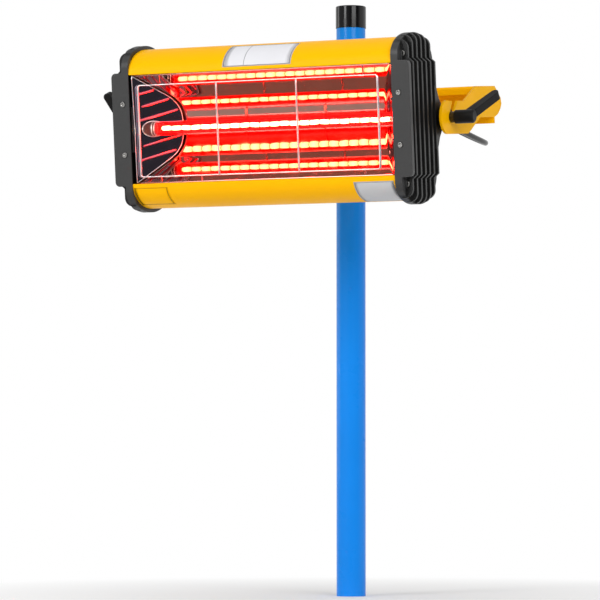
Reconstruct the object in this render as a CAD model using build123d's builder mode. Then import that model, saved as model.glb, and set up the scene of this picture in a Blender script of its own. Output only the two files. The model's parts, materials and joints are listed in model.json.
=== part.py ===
from build123d import *
import os
from math import cos, hypot, pi, radians, sin, sqrt, tan

os.makedirs("parts", exist_ok=True)

# An infrared paint curing lamp on an upright post, in millimetres.
# x runs to the right, y to the back and z up; the origin is the centre of the post's lower end.
# The head faces -y. It is drawn upright and then leaned forward about its pivot with the yoke.

# Driving sizes
overrun = 2.0
running_gap = 0.06
seat_gap = 0.1
clear_gap = 0.3

# Post
post_radius = 16.0
post_wall = 1.5
post_length = 644.5
cap_skirt = 22.0
cap_skirt_wall = 0.6
cap_crown = 2.4
cap_edge = 1.4

# Pivot of the head, in front of the collar and below the post's top
head_tilt = 5.3
pivot_reach = 122.5
pivot_drop = 138.0
pivot_overhang = 0.4

# Housing shell, with depths measured back from its front plane
shell_half_length = 154.5
shell_depth = 87.0
opening_half_height = 57.75
shell_rise = 27.25
shell_sheet = 1.5
lip_depth = 8.0
window_end_margin = 64.5
window_edge_margin = 17.75
pivot_depth = shell_depth + pivot_overhang
rear_window_half_length = shell_half_length - window_end_margin
rear_window_half_height = opening_half_height - window_edge_margin

# Rear cover
cover_margin = 9.0
cover_sheet = 1.5
cover_corner = 8.0
cover_half_length = rear_window_half_length + cover_margin
cover_half_height = rear_window_half_height + cover_margin
vent_width = 3.6
vent_pitch = 9.0
vent_rows = 7
vent_columns = 3
vent_gap = 12.0
vent_margin = 21.0
vent_column_pitch = (2 * cover_half_length - 2 * vent_margin + vent_gap) / vent_columns
vent_length = vent_column_pitch - vent_gap

# End caps
cap_front_step = 1.0
cap_rear_step = 4.0
cap_top_step = 4.0
cap_front_bulge = 7.25
cap_rear_bulge = 0.25
cap_front_flat = opening_half_height + cap_front_bulge
cap_rear_flat = opening_half_height + cap_rear_bulge
cap_rim = 3.0
cap_plate = 5.0
cap_core = 7.0
cap_core_inset = 6.0
cap_core_margin = 17.4
cap_core_depth = pivot_depth - cap_core_margin
cap_wall = 3.0
cap_reach = 17.0
cap_shoulder = 12.0
fin_first = 11.3
fin_room = 30.0
fin_count = 6
fin_pitch = (shell_depth - fin_room) / (fin_count - 1)
fin_width = 3.6
fin_corner = 9.5
fin_waist_drop = 2.5
fin_belly_drop = 7.0
fin_waist = cap_front_flat - fin_waist_drop
fin_belly = cap_front_flat - fin_belly_drop
panel_margin = 2.25
panel_half_height = opening_half_height + panel_margin
panel_depth = 5.0
panel_corner = 5.0
ear_radius = 13.0
ear_root_reach = 18.4
ear_knee_reach = 11.9
ear_neck_reach = 5.4
ear_root_depth = pivot_depth - ear_root_reach
ear_root_half = 33.0
ear_knee_depth = pivot_depth - ear_knee_reach
ear_knee_half = 20.0
ear_neck_depth = pivot_depth - ear_neck_reach

# Screws of the end caps
small_screw_x = 4.5
small_screw_z = 26.8
small_screw_radius = 2.7
big_screw_x = 6.0
big_screw_rise = 2.0
big_screw_z = cap_front_flat + big_screw_rise
big_screw_radius = 3.4
screw_head = 2.0
screw_shank_radius = 1.5
screw_shank = 7.0
screw_cross_width = 0.8
screw_cross_half = 1.9
screw_cross_depth = 0.9

# Reflector, a trough that is a little shallower above than below
mirror_sheet = 1.0
mirror_edge_gap = 1.75
mirror_end_gap = 2.5
mirror_front_half = opening_half_height - mirror_edge_gap
mirror_end_x = shell_half_length - mirror_end_gap
mirror_back_room = 48.6
mirror_back_depth = shell_depth - mirror_back_room
upper_front_depth = 1.5
upper_bend_depth = 5.9
upper_knee_depth = mirror_back_depth - upper_bend_depth
upper_knee_drop = 25.0
upper_back_drop = 35.8
lower_front_depth = 2.5
lower_bend_depth = 3.4
lower_knee_depth = mirror_back_depth - lower_bend_depth
lower_knee_drop = 32.3
lower_back_drop = 40.4
right_end_slope = 0.72
left_end_slope = 1.12
rib_pitch = 14.0
rib_count = 6
rib_width = 1.6
rib_height = 0.9
rib_rise_share = 0.25
end_screw_z = 21.0
end_screw_u = 7.0
end_screw_radius = 2.2
end_screw_head = 1.1
end_screw_shank = 1.2
foot_margin = 94.5
foot_x = shell_half_length - foot_margin
foot_width = 14.0

# Quartz lamp
tube_depth = 15.5
tube_radius = 7.5
tube_glass = 1.2
tube_end_gap = 2.5
tube_bore = tube_radius - tube_glass
tube_half_length = shell_half_length - tube_end_gap
tube_hole_radius = tube_radius + clear_gap
filament_left_margin = 30.0
filament_right_margin = 10.0
filament_left = tube_half_length - filament_left_margin
filament_right = tube_half_length - filament_right_margin
filament_radius = 2.2
filament_lead_radius = 0.6
base_wall = 1.5
base_grip = 3.0
base_floor = 2.3
base_radius = tube_radius + base_wall
base_start = tube_half_length - base_grip
base_end = tube_half_length + base_floor
holder_sheet = 1.5
holder_inset = 1.0
holder_start = tube_half_length - holder_inset
holder_half_height = 24.0
holder_front_room = 10.9
holder_front_depth = tube_depth - holder_front_room
holder_foot = 16.0

# Inner chassis
chassis_gap = 11.6
chassis_end_gap = 1.5
chassis_edge_gap = 3.6
chassis_depth = mirror_back_depth + chassis_gap
chassis_sheet = 1.2
chassis_half_length = shell_half_length - chassis_end_gap
chassis_flange = 8.0
chassis_half_height = opening_half_height + shell_rise - chassis_edge_gap

# Guard wires, a little to the left and low in their clips
guard_depth = 2.0
guard_end_margin = 13.5
guard_edge_margin = 7.6
guard_half_length = mirror_end_x - guard_end_margin
guard_half_height = mirror_front_half - guard_edge_margin
guard_shift_x = -3.6
guard_shift_z = -2.1
guard_radius = 1.2
guard_cross_radius = 1.0
guard_corner = 3.0
guard_leg_margin = 20.5
guard_leg_x = guard_half_length - guard_leg_margin
guard_cross_x = guard_half_length / 3

# Mains inlet and wiring
gland_margin = 11.5
gland_x = shell_half_length - gland_margin
gland_z = -8.0
gland_hex_radius = 7.5
gland_hex = 6.0
gland_thread_radius = 6.0
gland_nut_length = 4.0
relief_length = 31.0
relief_root_radius = 5.6
relief_tip_radius = 4.2
cord_radius = 3.0
block_gap = 37.0
block_x = gland_x - block_gap
block_z = 30.0
block_length = 34.0
block_height = 18.0
block_depth = 14.0
block_way_radius = 2.6

# Yoke, with places measured from the pivot along the leaned frame
washer_thickness = 5.5
yoke_sheet = 2.5
arm_inner_x = shell_half_length + cap_reach + washer_thickness
arm_outer = arm_inner_x + yoke_sheet
nose_radius = 17.6
nose_y = -8.5
arm_top = 16.8
arm_rise_y = 39.0
yoke_top = 32.0
lip_y = 72.0
lip_low = 23.5
web_y = 122.0
web_low = -8.0
arm_tail = 143.0
arm_edge_shares = (
    (0.986, 0.606), (1, 0.397), (0.977, 0.238), (0.922, 0.053),
    (0.853, -0.041), (0.566, -0.041), (0.371, -0.469), (0.322, -0.56),
)
slot_width = 11.0
slot_lean = 35.0
slot_flare = 1.8
bend_radius = 3.0

# Collar that clamps on the post
liner_wall = 2.0
liner_flange = 3.5
liner_flange_height = 2.0
collar_wall = 6.5
collar_radius = post_radius + collar_wall
collar_half_height = 20.0
pad_half_width = 20.0
pad_depth = 16.0
boss_radius = 11.0
boss_reach = 21.5
boss_end = collar_radius + boss_reach
bolt_x = 14.0
bolt_z = 9.0
bolt_radius = 2.5
bolt_head_radius = 4.5
bolt_head = 4.0
bolt_length = 12.0
knob_screw_radius = 5.0
knob_radius = 15.5
knob_lobe_radius = 4.6
knob_lobes = 6
knob_thickness = 15.0
knob_hub_radius = 11.0
knob_hub = 4.0
knob_edge = 1.8

# Pivot hardware
stud_radius = 4.0
stud_flange_radius = 6.5
stud_flange = 4.0
stud_flange_x = 3.0
washer_radius = 11.5
washer_neck_gap = 0.3
insert_radius = 5.75
hub_gap = 5.5
hub_length = 21.2
hub_radius = 7.2
hub_edge = 1.6
stud_grip = 13.0
hub_start = arm_outer + hub_gap
hub_end = hub_start + hub_length
stud_end = hub_start + stud_grip
lever_reach = 43.0
lever_rise = 14.8
lever_root_inset = 8.7
lever_out = hub_end + lever_rise
lever_root_out = hub_end - lever_root_inset
lever_root_radius = 5.2
lever_tip_radius = 4.2
lever_half_width = 4.4
lever_right_angle = 37.6
lever_left_angle = 110.0

# Cord: its route's steps from the strain relief and back from the coil's entry
arc_share = 0.45
cord_leaving_steps = (
    (0, 0, 0), (0, 35.8, 3.32), (3, 71.8, -0.22), (7, 101.8, -5.62),
    (8, 129.8, -9.02), (-1, 148.8, -7.32), (-18, 158.8, -0.92),
)
cord_arriving_steps = (
    (97, 22.5, -53.02), (76, 18.5, -38.52), (56, 11.5, -21.52), (36, 3.5, -7.52), (18, 0, 0), (0, 0, 0),
)

# Cord coil, tie and plug behind the collar
coil_outer = 42.75
coil_pitch = 6.5
coil_layer = 6.5
coil_draw = 1.0
coil_gap = 6.0
coil_front_y = collar_radius + coil_gap
front_half_turns = 6
rear_half_turns = 5
coil_checks = 600
coil_turn_checks = 30
tie_width = 12.0
tie_sheet = 1.2
tie_gap = 1.3
plug_length = 34.0
plug_half_width = 15.0
plug_half_depth = 7.0
plug_neck = 9.0
plug_neck_radius = 4.5
plug_corner = 5.0
pin_radius = 2.0
pin_length = 19.0
pin_spacing = 18.6
tail_length = 14.0

# Frames
lean = radians(head_tilt)
pivot = Vector(0, -(collar_radius + pivot_reach), post_length - pivot_drop)
lean_back = Vector(0, cos(lean), sin(lean))
lean_up = Vector(0, -sin(lean), cos(lean))
head_place = Plane(origin=pivot - lean_back * pivot_depth, x_dir=(1, 0, 0), z_dir=lean_up).location
yoke_place = Plane(origin=pivot, x_dir=(1, 0, 0), z_dir=lean_up).location
shell_middle = shell_depth / 2
cap_half_height = opening_half_height + shell_rise + cap_top_step


def mirrored(points):
    """The points of an outline's upper half, followed by the same points below in reverse."""
    return points + [(across, -up) for across, up in reversed(points)]


def arched_face(inset):
    """The housing's section, drawn in by inset: a half ellipse above and below upright sides."""
    with BuildSketch() as face:
        with BuildLine():
            for side, turn in ((1, 0), (-1, 180)):
                EllipticalCenterArc(
                    (shell_middle, side * opening_half_height),
                    shell_middle - inset, shell_rise - inset, start_angle=turn, arc_size=180,
                )
            for d in (inset, shell_depth - inset):
                Line((d, -opening_half_height), (d, opening_half_height))
        make_face()
    return face.sketch


def cap_face(inset):
    """An end cap's outline, drawn in by inset: a longer quarter ellipse behind a shorter one."""
    front = -cap_front_step + inset
    rear = shell_depth + cap_rear_step - inset
    top = cap_half_height - inset
    with BuildSketch() as face:
        with BuildLine():
            for side, front_turn, rear_turn in ((1, 90, 0), (-1, 180, 270)):
                EllipticalCenterArc(
                    (shell_middle, side * cap_front_flat), shell_middle - front,
                    top - cap_front_flat, start_angle=front_turn, arc_size=90,
                )
                EllipticalCenterArc(
                    (shell_middle, side * cap_rear_flat), rear - shell_middle,
                    top - cap_rear_flat, start_angle=rear_turn, arc_size=90,
                )
            Line((front, -cap_front_flat), (front, cap_front_flat))
            Line((rear, -cap_rear_flat), (rear, cap_rear_flat))
        make_face()
    return face.sketch


def cap_height(d):
    """Half the height of an end cap at the depth d, from the ellipses of its outline."""
    if d < shell_middle:
        share = (shell_middle - d) / (shell_middle + cap_front_step)
        return cap_front_flat + (cap_half_height - cap_front_flat) * sqrt(1 - share * share)
    share = (d - shell_middle) / (shell_middle + cap_rear_step)
    return cap_rear_flat + (cap_half_height - cap_rear_flat) * sqrt(1 - share * share)


# Post and its cap
with BuildPart() as post_tube:
    Cylinder(post_radius, post_length, align=(Align.CENTER, Align.CENTER, Align.MIN))
    Hole(post_radius - post_wall)

post_tube.part.label = "post_tube"
export_step(post_tube.part, "parts/post_tube.step")

with BuildPart() as post_cap:
    with BuildSketch(Plane.XY.offset(post_length - cap_skirt)):
        Circle(post_radius + seat_gap + cap_skirt_wall)
    extrude(amount=cap_skirt + cap_crown)
    fillet(post_cap.edges().sort_by(Axis.Z)[-1], cap_edge)
    with BuildSketch(Plane.XY.offset(post_length - cap_skirt)):
        Circle(post_radius + seat_gap)
    extrude(amount=cap_skirt, mode=Mode.SUBTRACT)

post_cap.part.label = "post_cap"
export_step(post_cap.part, "parts/post_cap.step")

# Housing shell
with BuildPart() as housing_shell:
    with BuildSketch(Plane.YZ):
        add(arched_face(0))
        add(arched_face(shell_sheet), mode=Mode.SUBTRACT)
        with Locations((0, 0)):
            Rectangle(2 * shell_sheet + seat_gap, 2 * opening_half_height, mode=Mode.SUBTRACT)
        for side in (1, -1):
            low = side * opening_half_height
            with Locations((lip_depth / 2, low + side * shell_sheet / 2)):
                Rectangle(lip_depth, shell_sheet)
    extrude(amount=shell_half_length, both=True)
    with BuildSketch(Plane.XZ.offset(-shell_depth)):
        Rectangle(2 * rear_window_half_length, 2 * rear_window_half_height)
        with Locations((gland_x, gland_z)):
            Circle(gland_thread_radius + seat_gap)
    extrude(amount=shell_sheet * 2, mode=Mode.SUBTRACT)

housing_shell.part.move(head_place)
housing_shell.part.label = "housing_shell"
export_step(housing_shell.part, "parts/housing_shell.step")

# Rear cover with its vents, and its screws
cover_screw_x = cover_half_length - cover_margin / 2
cover_screw_z = cover_half_height - cover_margin / 2
cover_corners = [(sx * cover_screw_x, sz * cover_screw_z) for sx in (1, -1) for sz in (1, -1)]
with BuildPart() as rear_cover:
    with BuildSketch(Plane.XZ.offset(-shell_depth)):
        RectangleRounded(2 * cover_half_length, 2 * cover_half_height, cover_corner)
        with GridLocations(vent_column_pitch, vent_pitch, vent_columns, vent_rows):
            SlotOverall(vent_length, vent_width, mode=Mode.SUBTRACT)
        with Locations(cover_corners):
            Circle(screw_shank_radius + seat_gap, mode=Mode.SUBTRACT)
    extrude(amount=-cover_sheet)

rear_cover.part.move(head_place)
rear_cover.part.label = "rear_cover"
export_step(rear_cover.part, "parts/rear_cover.step")

with BuildPart() as cover_screws:
    with BuildSketch(Plane.XZ.offset(-(shell_depth + cover_sheet))):
        with Locations(cover_corners):
            Circle(small_screw_radius)
    extrude(amount=-screw_head)
    with BuildSketch(Plane.XZ.offset(-(shell_depth + cover_sheet))):
        with Locations(cover_corners):
            Circle(screw_shank_radius)
    extrude(amount=cover_sheet)

cover_screws.part.move(head_place)
cover_screws.part.label = "cover_screws"
export_step(cover_screws.part, "parts/cover_screws.step")

# End caps: a plate and rim over the shell's end, a cored block with fins, a front panel and an ear
outer_x = shell_half_length + cap_reach
shoulder_x = shell_half_length + cap_shoulder
fin_depths = [fin_first + number * fin_pitch for number in range(fin_count)]
fin_face = fin_first - fin_width / 2
small_screws = [(shell_half_length + small_screw_x, side * small_screw_z) for side in (1, -1)]
big_screws = [(shell_half_length + big_screw_x, side * big_screw_z) for side in (1, -1)]
with BuildPart() as end_cap_right:
    with BuildSketch(Plane.YZ.offset(shell_half_length - cap_rim)):
        add(cap_face(0))
        add(arched_face(-seat_gap), mode=Mode.SUBTRACT)
    extrude(amount=cap_rim)
    with BuildSketch(Plane.YZ.offset(shell_half_length)):
        add(cap_face(0))
    extrude(amount=cap_plate)
    with BuildSketch(Plane.YZ.offset(shell_half_length)):
        add(cap_face(cap_core_inset))
        with Locations((cap_core_depth, 0)):
            Rectangle(
                shell_depth, 2 * cap_half_height,
                align=(Align.MIN, Align.CENTER), mode=Mode.SUBTRACT,
            )
    extrude(amount=cap_core)
    for d in fin_depths:
        top = cap_height(d)
        with BuildSketch(Plane.XZ.offset(-(d - fin_width / 2))):
            with BuildLine():
                Polyline([
                    (shoulder_x - fin_corner, top), (shell_half_length, top),
                    (shell_half_length, -top), (shoulder_x - fin_corner, -top),
                ])
                Polyline([
                    (shoulder_x, top - fin_corner), (shoulder_x, fin_waist), (outer_x, fin_belly),
                    (outer_x, -fin_belly), (shoulder_x, -fin_waist), (shoulder_x, fin_corner - top),
                ])
                for side in (1, -1):
                    TangentArc(
                        (shoulder_x - fin_corner, side * top),
                        (shoulder_x, side * (top - fin_corner)), tangent=(1, 0),
                    )
            make_face()
        extrude(amount=-fin_width)
    with BuildSketch(Plane.XZ.offset(cap_front_step)):
        with Locations((shell_half_length, 0)):
            Rectangle(cap_reach, 2 * panel_half_height, align=(Align.MIN, Align.CENTER))
    extrude(amount=-(panel_depth + cap_front_step))
    panel_edges = end_cap_right.edges().filter_by(Axis.Y).filter_by_position(
        Axis.X, outer_x - seat_gap, outer_x + seat_gap,
    ).filter_by_position(Axis.Y, -cap_front_step, panel_depth)
    fillet(panel_edges, panel_corner)
    with BuildSketch(Plane.YZ.offset(shell_half_length)):
        with BuildLine():
            Polyline(mirrored([
                (ear_root_depth - fin_width, ear_root_half),
                (ear_root_depth, ear_root_half),
                (ear_knee_depth, ear_knee_half),
                (ear_neck_depth, ear_radius),
                (pivot_depth, ear_radius),
            ]), close=True)
        make_face()
        with Locations((pivot_depth, 0)):
            Circle(ear_radius)
    extrude(amount=cap_reach)
    with BuildSketch(Plane.YZ.offset(shell_half_length)):
        add(cap_face(cap_core_inset + cap_wall))
        with Locations((ear_root_depth, 0)):
            Rectangle(
                shell_depth, 2 * cap_half_height,
                align=(Align.MIN, Align.CENTER), mode=Mode.SUBTRACT,
            )
    extrude(amount=cap_core - cap_wall, mode=Mode.SUBTRACT)
    with BuildSketch(Plane.YZ.offset(shell_half_length + stud_flange_x)):
        with Locations((pivot_depth, 0)):
            Circle(stud_flange_radius)
    extrude(amount=stud_flange, mode=Mode.SUBTRACT)
    with BuildSketch(Plane.YZ.offset(shell_half_length + stud_flange_x)):
        with Locations((pivot_depth, 0)):
            Circle(stud_radius)
    extrude(amount=cap_reach, mode=Mode.SUBTRACT)
    with BuildSketch(Plane.XZ.offset(cap_front_step)):
        with Locations(small_screws):
            Circle(small_screw_radius + clear_gap)
    extrude(amount=-screw_head / 2, mode=Mode.SUBTRACT)
    with BuildSketch(Plane.XZ.offset(cap_front_step)):
        with Locations(small_screws):
            Circle(screw_shank_radius)
    extrude(amount=-screw_shank, mode=Mode.SUBTRACT)
    with BuildSketch(Plane.XZ.offset(-fin_face + overrun)):
        with Locations(big_screws):
            Circle(big_screw_radius + clear_gap)
    extrude(amount=-overrun, mode=Mode.SUBTRACT)
    with BuildSketch(Plane.XZ.offset(-fin_face)):
        with Locations(big_screws):
            Circle(screw_shank_radius)
    extrude(amount=-screw_shank, mode=Mode.SUBTRACT)

with BuildPart() as end_cap_left:
    mirror(end_cap_right.part, about=Plane.YZ)

end_cap_right.part.move(head_place)
end_cap_right.part.label = "end_cap_right"
export_step(end_cap_right.part, "parts/end_cap_right.step")
end_cap_left.part.move(head_place)
end_cap_left.part.label = "end_cap_left"
export_step(end_cap_left.part, "parts/end_cap_left.step")

with BuildPart() as cap_screws:
    for side in (1, -1):
        with BuildSketch(Plane.XZ.offset(cap_front_step - screw_head / 2)):
            with Locations([(side * x, z) for x, z in small_screws]):
                Circle(small_screw_radius)
        extrude(amount=screw_head / 2 + screw_cross_depth)
        with BuildSketch(Plane.XZ.offset(-fin_face)):
            with Locations([(side * x, z) for x, z in big_screws]):
                Circle(big_screw_radius)
        extrude(amount=screw_head)
        with BuildSketch(Plane.XZ.offset(cap_front_step - screw_head / 2)):
            with Locations([(side * x, z) for x, z in small_screws]):
                Circle(screw_shank_radius)
        extrude(amount=-(screw_shank - screw_head / 2))
        with BuildSketch(Plane.XZ.offset(-fin_face)):
            with Locations([(side * x, z) for x, z in big_screws]):
                Circle(screw_shank_radius)
        extrude(amount=-screw_shank)
        for face, places in (
            (cap_front_step + screw_cross_depth, small_screws),
            (screw_head - fin_face, big_screws),
        ):
            with BuildSketch(Plane.XZ.offset(face)):
                with Locations([(side * x, z) for x, z in places]):
                    Rectangle(2 * screw_cross_half, screw_cross_width)
                    Rectangle(screw_cross_width, 2 * screw_cross_half)
            extrude(amount=-screw_cross_depth, mode=Mode.SUBTRACT)

cap_screws.part.move(head_place)
cap_screws.part.label = "cap_screws"
export_step(cap_screws.part, "parts/cap_screws.step")

# Reflector trough, folded from sheet, with two feet on the chassis
upper_knee = (upper_knee_depth, mirror_front_half - upper_knee_drop)
lower_knee = (lower_knee_depth, lower_knee_drop - mirror_front_half)
upper_back = (mirror_back_depth, mirror_front_half - upper_back_drop)
lower_back = (mirror_back_depth, lower_back_drop - mirror_front_half)
upper_slope = upper_knee_drop / (upper_knee_depth - upper_front_depth)
lower_slope = lower_knee_drop / (lower_knee_depth - lower_front_depth)


def trough_face(grow):
    """The trough's inside: two flat flanks that run into a rounded back, grown by a sheet or not."""
    with BuildSketch() as face:
        with BuildLine():
            Polyline([upper_knee, (upper_front_depth, mirror_front_half),
                      (lower_front_depth, -mirror_front_half), lower_knee])
            TangentArc(upper_knee, upper_back, tangent=(1, -upper_slope))
            TangentArc(lower_knee, lower_back, tangent=(1, lower_slope))
            Line(upper_back, lower_back)
        make_face()
        if grow:
            offset(amount=grow, kind=Kind.INTERSECTION)
            with Locations((lower_front_depth, 0)):
                Rectangle(
                    shell_depth, 2 * cap_half_height,
                    align=(Align.MAX, Align.CENTER), mode=Mode.SUBTRACT,
                )
    return face.sketch


with BuildPart() as reflector_trough:
    with BuildSketch(Plane.YZ):
        add(trough_face(mirror_sheet))
        add(trough_face(0), mode=Mode.SUBTRACT)
    extrude(amount=mirror_end_x, both=True)
    with BuildSketch(Plane.XY.offset(-cap_half_height)):
        with BuildLine():
            Polyline([
                (mirror_end_x, 0), (mirror_end_x - right_end_slope * chassis_depth, chassis_depth),
                (left_end_slope * chassis_depth - mirror_end_x, chassis_depth), (-mirror_end_x, 0),
            ], close=True)
        make_face()
    extrude(amount=2 * cap_half_height, mode=Mode.INTERSECT)
    for side in (1, -1):
        with BuildSketch(Plane.YZ.offset(side * foot_x - foot_width / 2)):
            with Locations((mirror_back_depth + mirror_sheet, 0)):
                Rectangle(
                    chassis_depth - mirror_back_depth - mirror_sheet, mirror_sheet,
                    align=(Align.MIN, Align.CENTER),
                )
        extrude(amount=foot_width)

reflector_trough.part.move(head_place)
reflector_trough.part.label = "reflector_trough"
export_step(reflector_trough.part, "parts/reflector_trough.step")

# Slanted end plates of the reflector, ribbed, with a hole for the tube, and their screws
rib_places = [(number - (rib_count - 1) / 2) * rib_pitch for number in range(rib_count)]
end_screw_parts = []
for side, name, slope in ((1, "right", right_end_slope), (-1, "left", left_end_slope)):
    along = hypot(1, slope)
    end_plane = Plane(
        origin=(side * mirror_end_x, 0, 0), x_dir=(-side * slope, 1, 0), z_dir=(-side, -slope, 0),
    )
    end_back = mirror_back_depth * along
    rib_start = lower_front_depth * along + rib_width
    end_screws = [(end_screw_u, end_screw_z), (end_screw_u, -end_screw_z)]
    with BuildPart() as end_block:
        with BuildSketch(Plane.YZ.offset(-side * shell_half_length)):
            add(trough_face(0))
        extrude(amount=2 * side * shell_half_length)
    with BuildPart() as reflector_end:
        with BuildSketch(end_plane):
            Rectangle(end_back, 2 * mirror_front_half, align=(Align.MIN, Align.CENTER))
        extrude(amount=-mirror_sheet)
        add(end_block.part, mode=Mode.INTERSECT)
        with BuildSketch(end_plane):
            with Locations(end_screws):
                Circle(end_screw_shank)
        extrude(amount=-mirror_sheet, mode=Mode.SUBTRACT)
        for z in rib_places:
            start = rib_start
            if abs(abs(z) - end_screw_z) < rib_pitch / 2:
                start = end_screw_u + end_screw_radius + rib_width
            if z > 0:
                reach = (mirror_front_half - z - rib_width) / (rib_rise_share + upper_slope / along)
            else:
                reach = (mirror_front_half + z - rib_width) / (lower_slope / along - rib_rise_share)
            reach = min(reach, end_back - rib_width)
            with BuildSketch(end_plane):
                with BuildLine():
                    Polyline([
                        (u, -side * (z + rib_rise_share * u + edge))
                        for u, edge in (
                            (start, -rib_width / 2), (reach, -rib_width / 2),
                            (reach, rib_width / 2), (start, rib_width / 2),
                        )
                    ], close=True)
                make_face()
            extrude(amount=rib_height)
        with BuildSketch(Plane.YZ):
            with Locations((tube_depth, 0)):
                Circle(tube_hole_radius)
        extrude(amount=side * (mirror_end_x + overrun), mode=Mode.SUBTRACT)

    reflector_end.part.move(head_place)
    reflector_end.part.label = f"reflector_end_{name}"
    export_step(reflector_end.part, f"parts/reflector_end_{name}.step")

    with BuildPart() as end_screw_pair:
        with BuildSketch(end_plane):
            with Locations(end_screws):
                Circle(end_screw_radius)
        extrude(amount=end_screw_head)
        with BuildSketch(end_plane):
            with Locations(end_screws):
                Circle(end_screw_shank)
        extrude(amount=-mirror_sheet)
    end_screw_parts.append(end_screw_pair.part)

with BuildPart() as reflector_screws:
    for pair in end_screw_parts:
        add(pair)

reflector_screws.part.move(head_place)
reflector_screws.part.label = "reflector_screws"
export_step(reflector_screws.part, "parts/reflector_screws.step")

# Quartz tube, its filament and the ceramic bases
tube_front = Plane.YZ.offset(-tube_half_length)
with BuildPart() as quartz_tube:
    with BuildSketch(tube_front):
        with Locations((tube_depth, 0)):
            Circle(tube_radius)
            Circle(tube_bore, mode=Mode.SUBTRACT)
    extrude(amount=2 * tube_half_length)

quartz_tube.part.move(head_place)
quartz_tube.part.label = "quartz_tube"
export_step(quartz_tube.part, "parts/quartz_tube.step")

with BuildPart() as filament:
    with BuildSketch(Plane.YZ):
        with Locations((tube_depth, 0)):
            Circle(filament_radius)
    extrude(amount=filament_right)
    with BuildSketch(Plane.YZ):
        with Locations((tube_depth, 0)):
            Circle(filament_radius)
    extrude(amount=-filament_left)
    with BuildSketch(Plane.YZ):
        with Locations((tube_depth, 0)):
            Circle(filament_lead_radius)
    extrude(amount=tube_half_length, both=True)

filament.part.move(head_place)
filament.part.label = "filament"
export_step(filament.part, "parts/filament.step")

with BuildPart() as lamp_base_right:
    with BuildSketch(Plane.YZ.offset(base_start)):
        with Locations((tube_depth, 0)):
            Circle(base_radius)
    extrude(amount=base_end - base_start)
    fillet(lamp_base_right.faces().sort_by(Axis.X)[-1].edges(), base_radius - tube_radius)
    with BuildSketch(Plane.YZ.offset(base_start)):
        with Locations((tube_depth, 0)):
            Circle(tube_radius + seat_gap)
    extrude(amount=tube_half_length - base_start, mode=Mode.SUBTRACT)

with BuildPart() as lamp_base_left:
    mirror(lamp_base_right.part, about=Plane.YZ)

lamp_base_right.part.move(head_place)
lamp_base_right.part.label = "lamp_base_right"
export_step(lamp_base_right.part, "parts/lamp_base_right.step")
lamp_base_left.part.move(head_place)
lamp_base_left.part.label = "lamp_base_left"
export_step(lamp_base_left.part, "parts/lamp_base_left.step")

# Inner chassis, which carries the reflector and the lamp holders
with BuildPart() as inner_chassis:
    with BuildSketch(Plane.YZ):
        with Locations((chassis_depth, 0)):
            Rectangle(chassis_sheet, 2 * chassis_half_height, align=(Align.MIN, Align.CENTER))
        for side in (1, -1):
            with Locations((chassis_depth, side * (chassis_half_height - chassis_sheet / 2))):
                Rectangle(chassis_flange, chassis_sheet, align=(Align.MIN, Align.CENTER))
    extrude(amount=chassis_half_length, both=True)

inner_chassis.part.move(head_place)
inner_chassis.part.label = "inner_chassis"
export_step(inner_chassis.part, "parts/inner_chassis.step")

with BuildPart() as lamp_holder_right:
    with BuildSketch(Plane.YZ.offset(holder_start)):
        with Locations((holder_front_depth, 0)):
            Rectangle(
                chassis_depth - holder_front_depth, 2 * holder_half_height,
                align=(Align.MIN, Align.CENTER),
            )
        with Locations((tube_depth, 0)):
            Circle(base_radius + seat_gap, mode=Mode.SUBTRACT)
    extrude(amount=holder_sheet)
    with BuildSketch(Plane.XZ.offset(-(chassis_depth - holder_sheet))):
        with Locations((holder_start + holder_sheet, 0)):
            Rectangle(holder_foot, 2 * holder_half_height, align=(Align.MAX, Align.CENTER))
    extrude(amount=-holder_sheet)

with BuildPart() as lamp_holder_left:
    mirror(lamp_holder_right.part, about=Plane.YZ)

lamp_holder_right.part.move(head_place)
lamp_holder_right.part.label = "lamp_holder_right"
export_step(lamp_holder_right.part, "parts/lamp_holder_right.step")
lamp_holder_left.part.move(head_place)
lamp_holder_left.part.label = "lamp_holder_left"
export_step(lamp_holder_left.part, "parts/lamp_holder_left.step")

# Guard: a wire frame with two cross wires and four legs to the reflector
guard_high = guard_shift_z + guard_half_height
guard_low = guard_shift_z - guard_half_height
guard_plane = Plane.XZ.offset(-guard_depth)
with BuildSketch(guard_plane) as guard_loop:
    with Locations((guard_shift_x, guard_shift_z)):
        RectangleRounded(2 * guard_half_length, 2 * guard_half_height, guard_corner)

guard_path = guard_loop.sketch.face().outer_wire()
with BuildPart() as guard_wire:
    with BuildSketch(Plane(origin=guard_path @ 0, z_dir=guard_path % 0)):
        Circle(guard_radius)
    sweep(path=guard_path)
    for side in (1, -1):
        with BuildSketch(Plane.XY.offset(guard_low)):
            with Locations((guard_shift_x + side * guard_cross_x, guard_depth)):
                Circle(guard_cross_radius)
        extrude(amount=2 * guard_half_height)
    for height, front, slope in (
        (guard_high, upper_front_depth, upper_slope), (guard_low, lower_front_depth, lower_slope),
    ):
        leg = front + (mirror_front_half - abs(height)) / slope
        with BuildSketch(guard_plane):
            with Locations((guard_leg_x, height), (-guard_leg_x, height)):
                Circle(guard_cross_radius)
        extrude(amount=-(leg - guard_depth - guard_cross_radius / slope))

guard_wire.part.move(head_place)
guard_wire.part.label = "guard_wire"
export_step(guard_wire.part, "parts/guard_wire.step")

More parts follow.
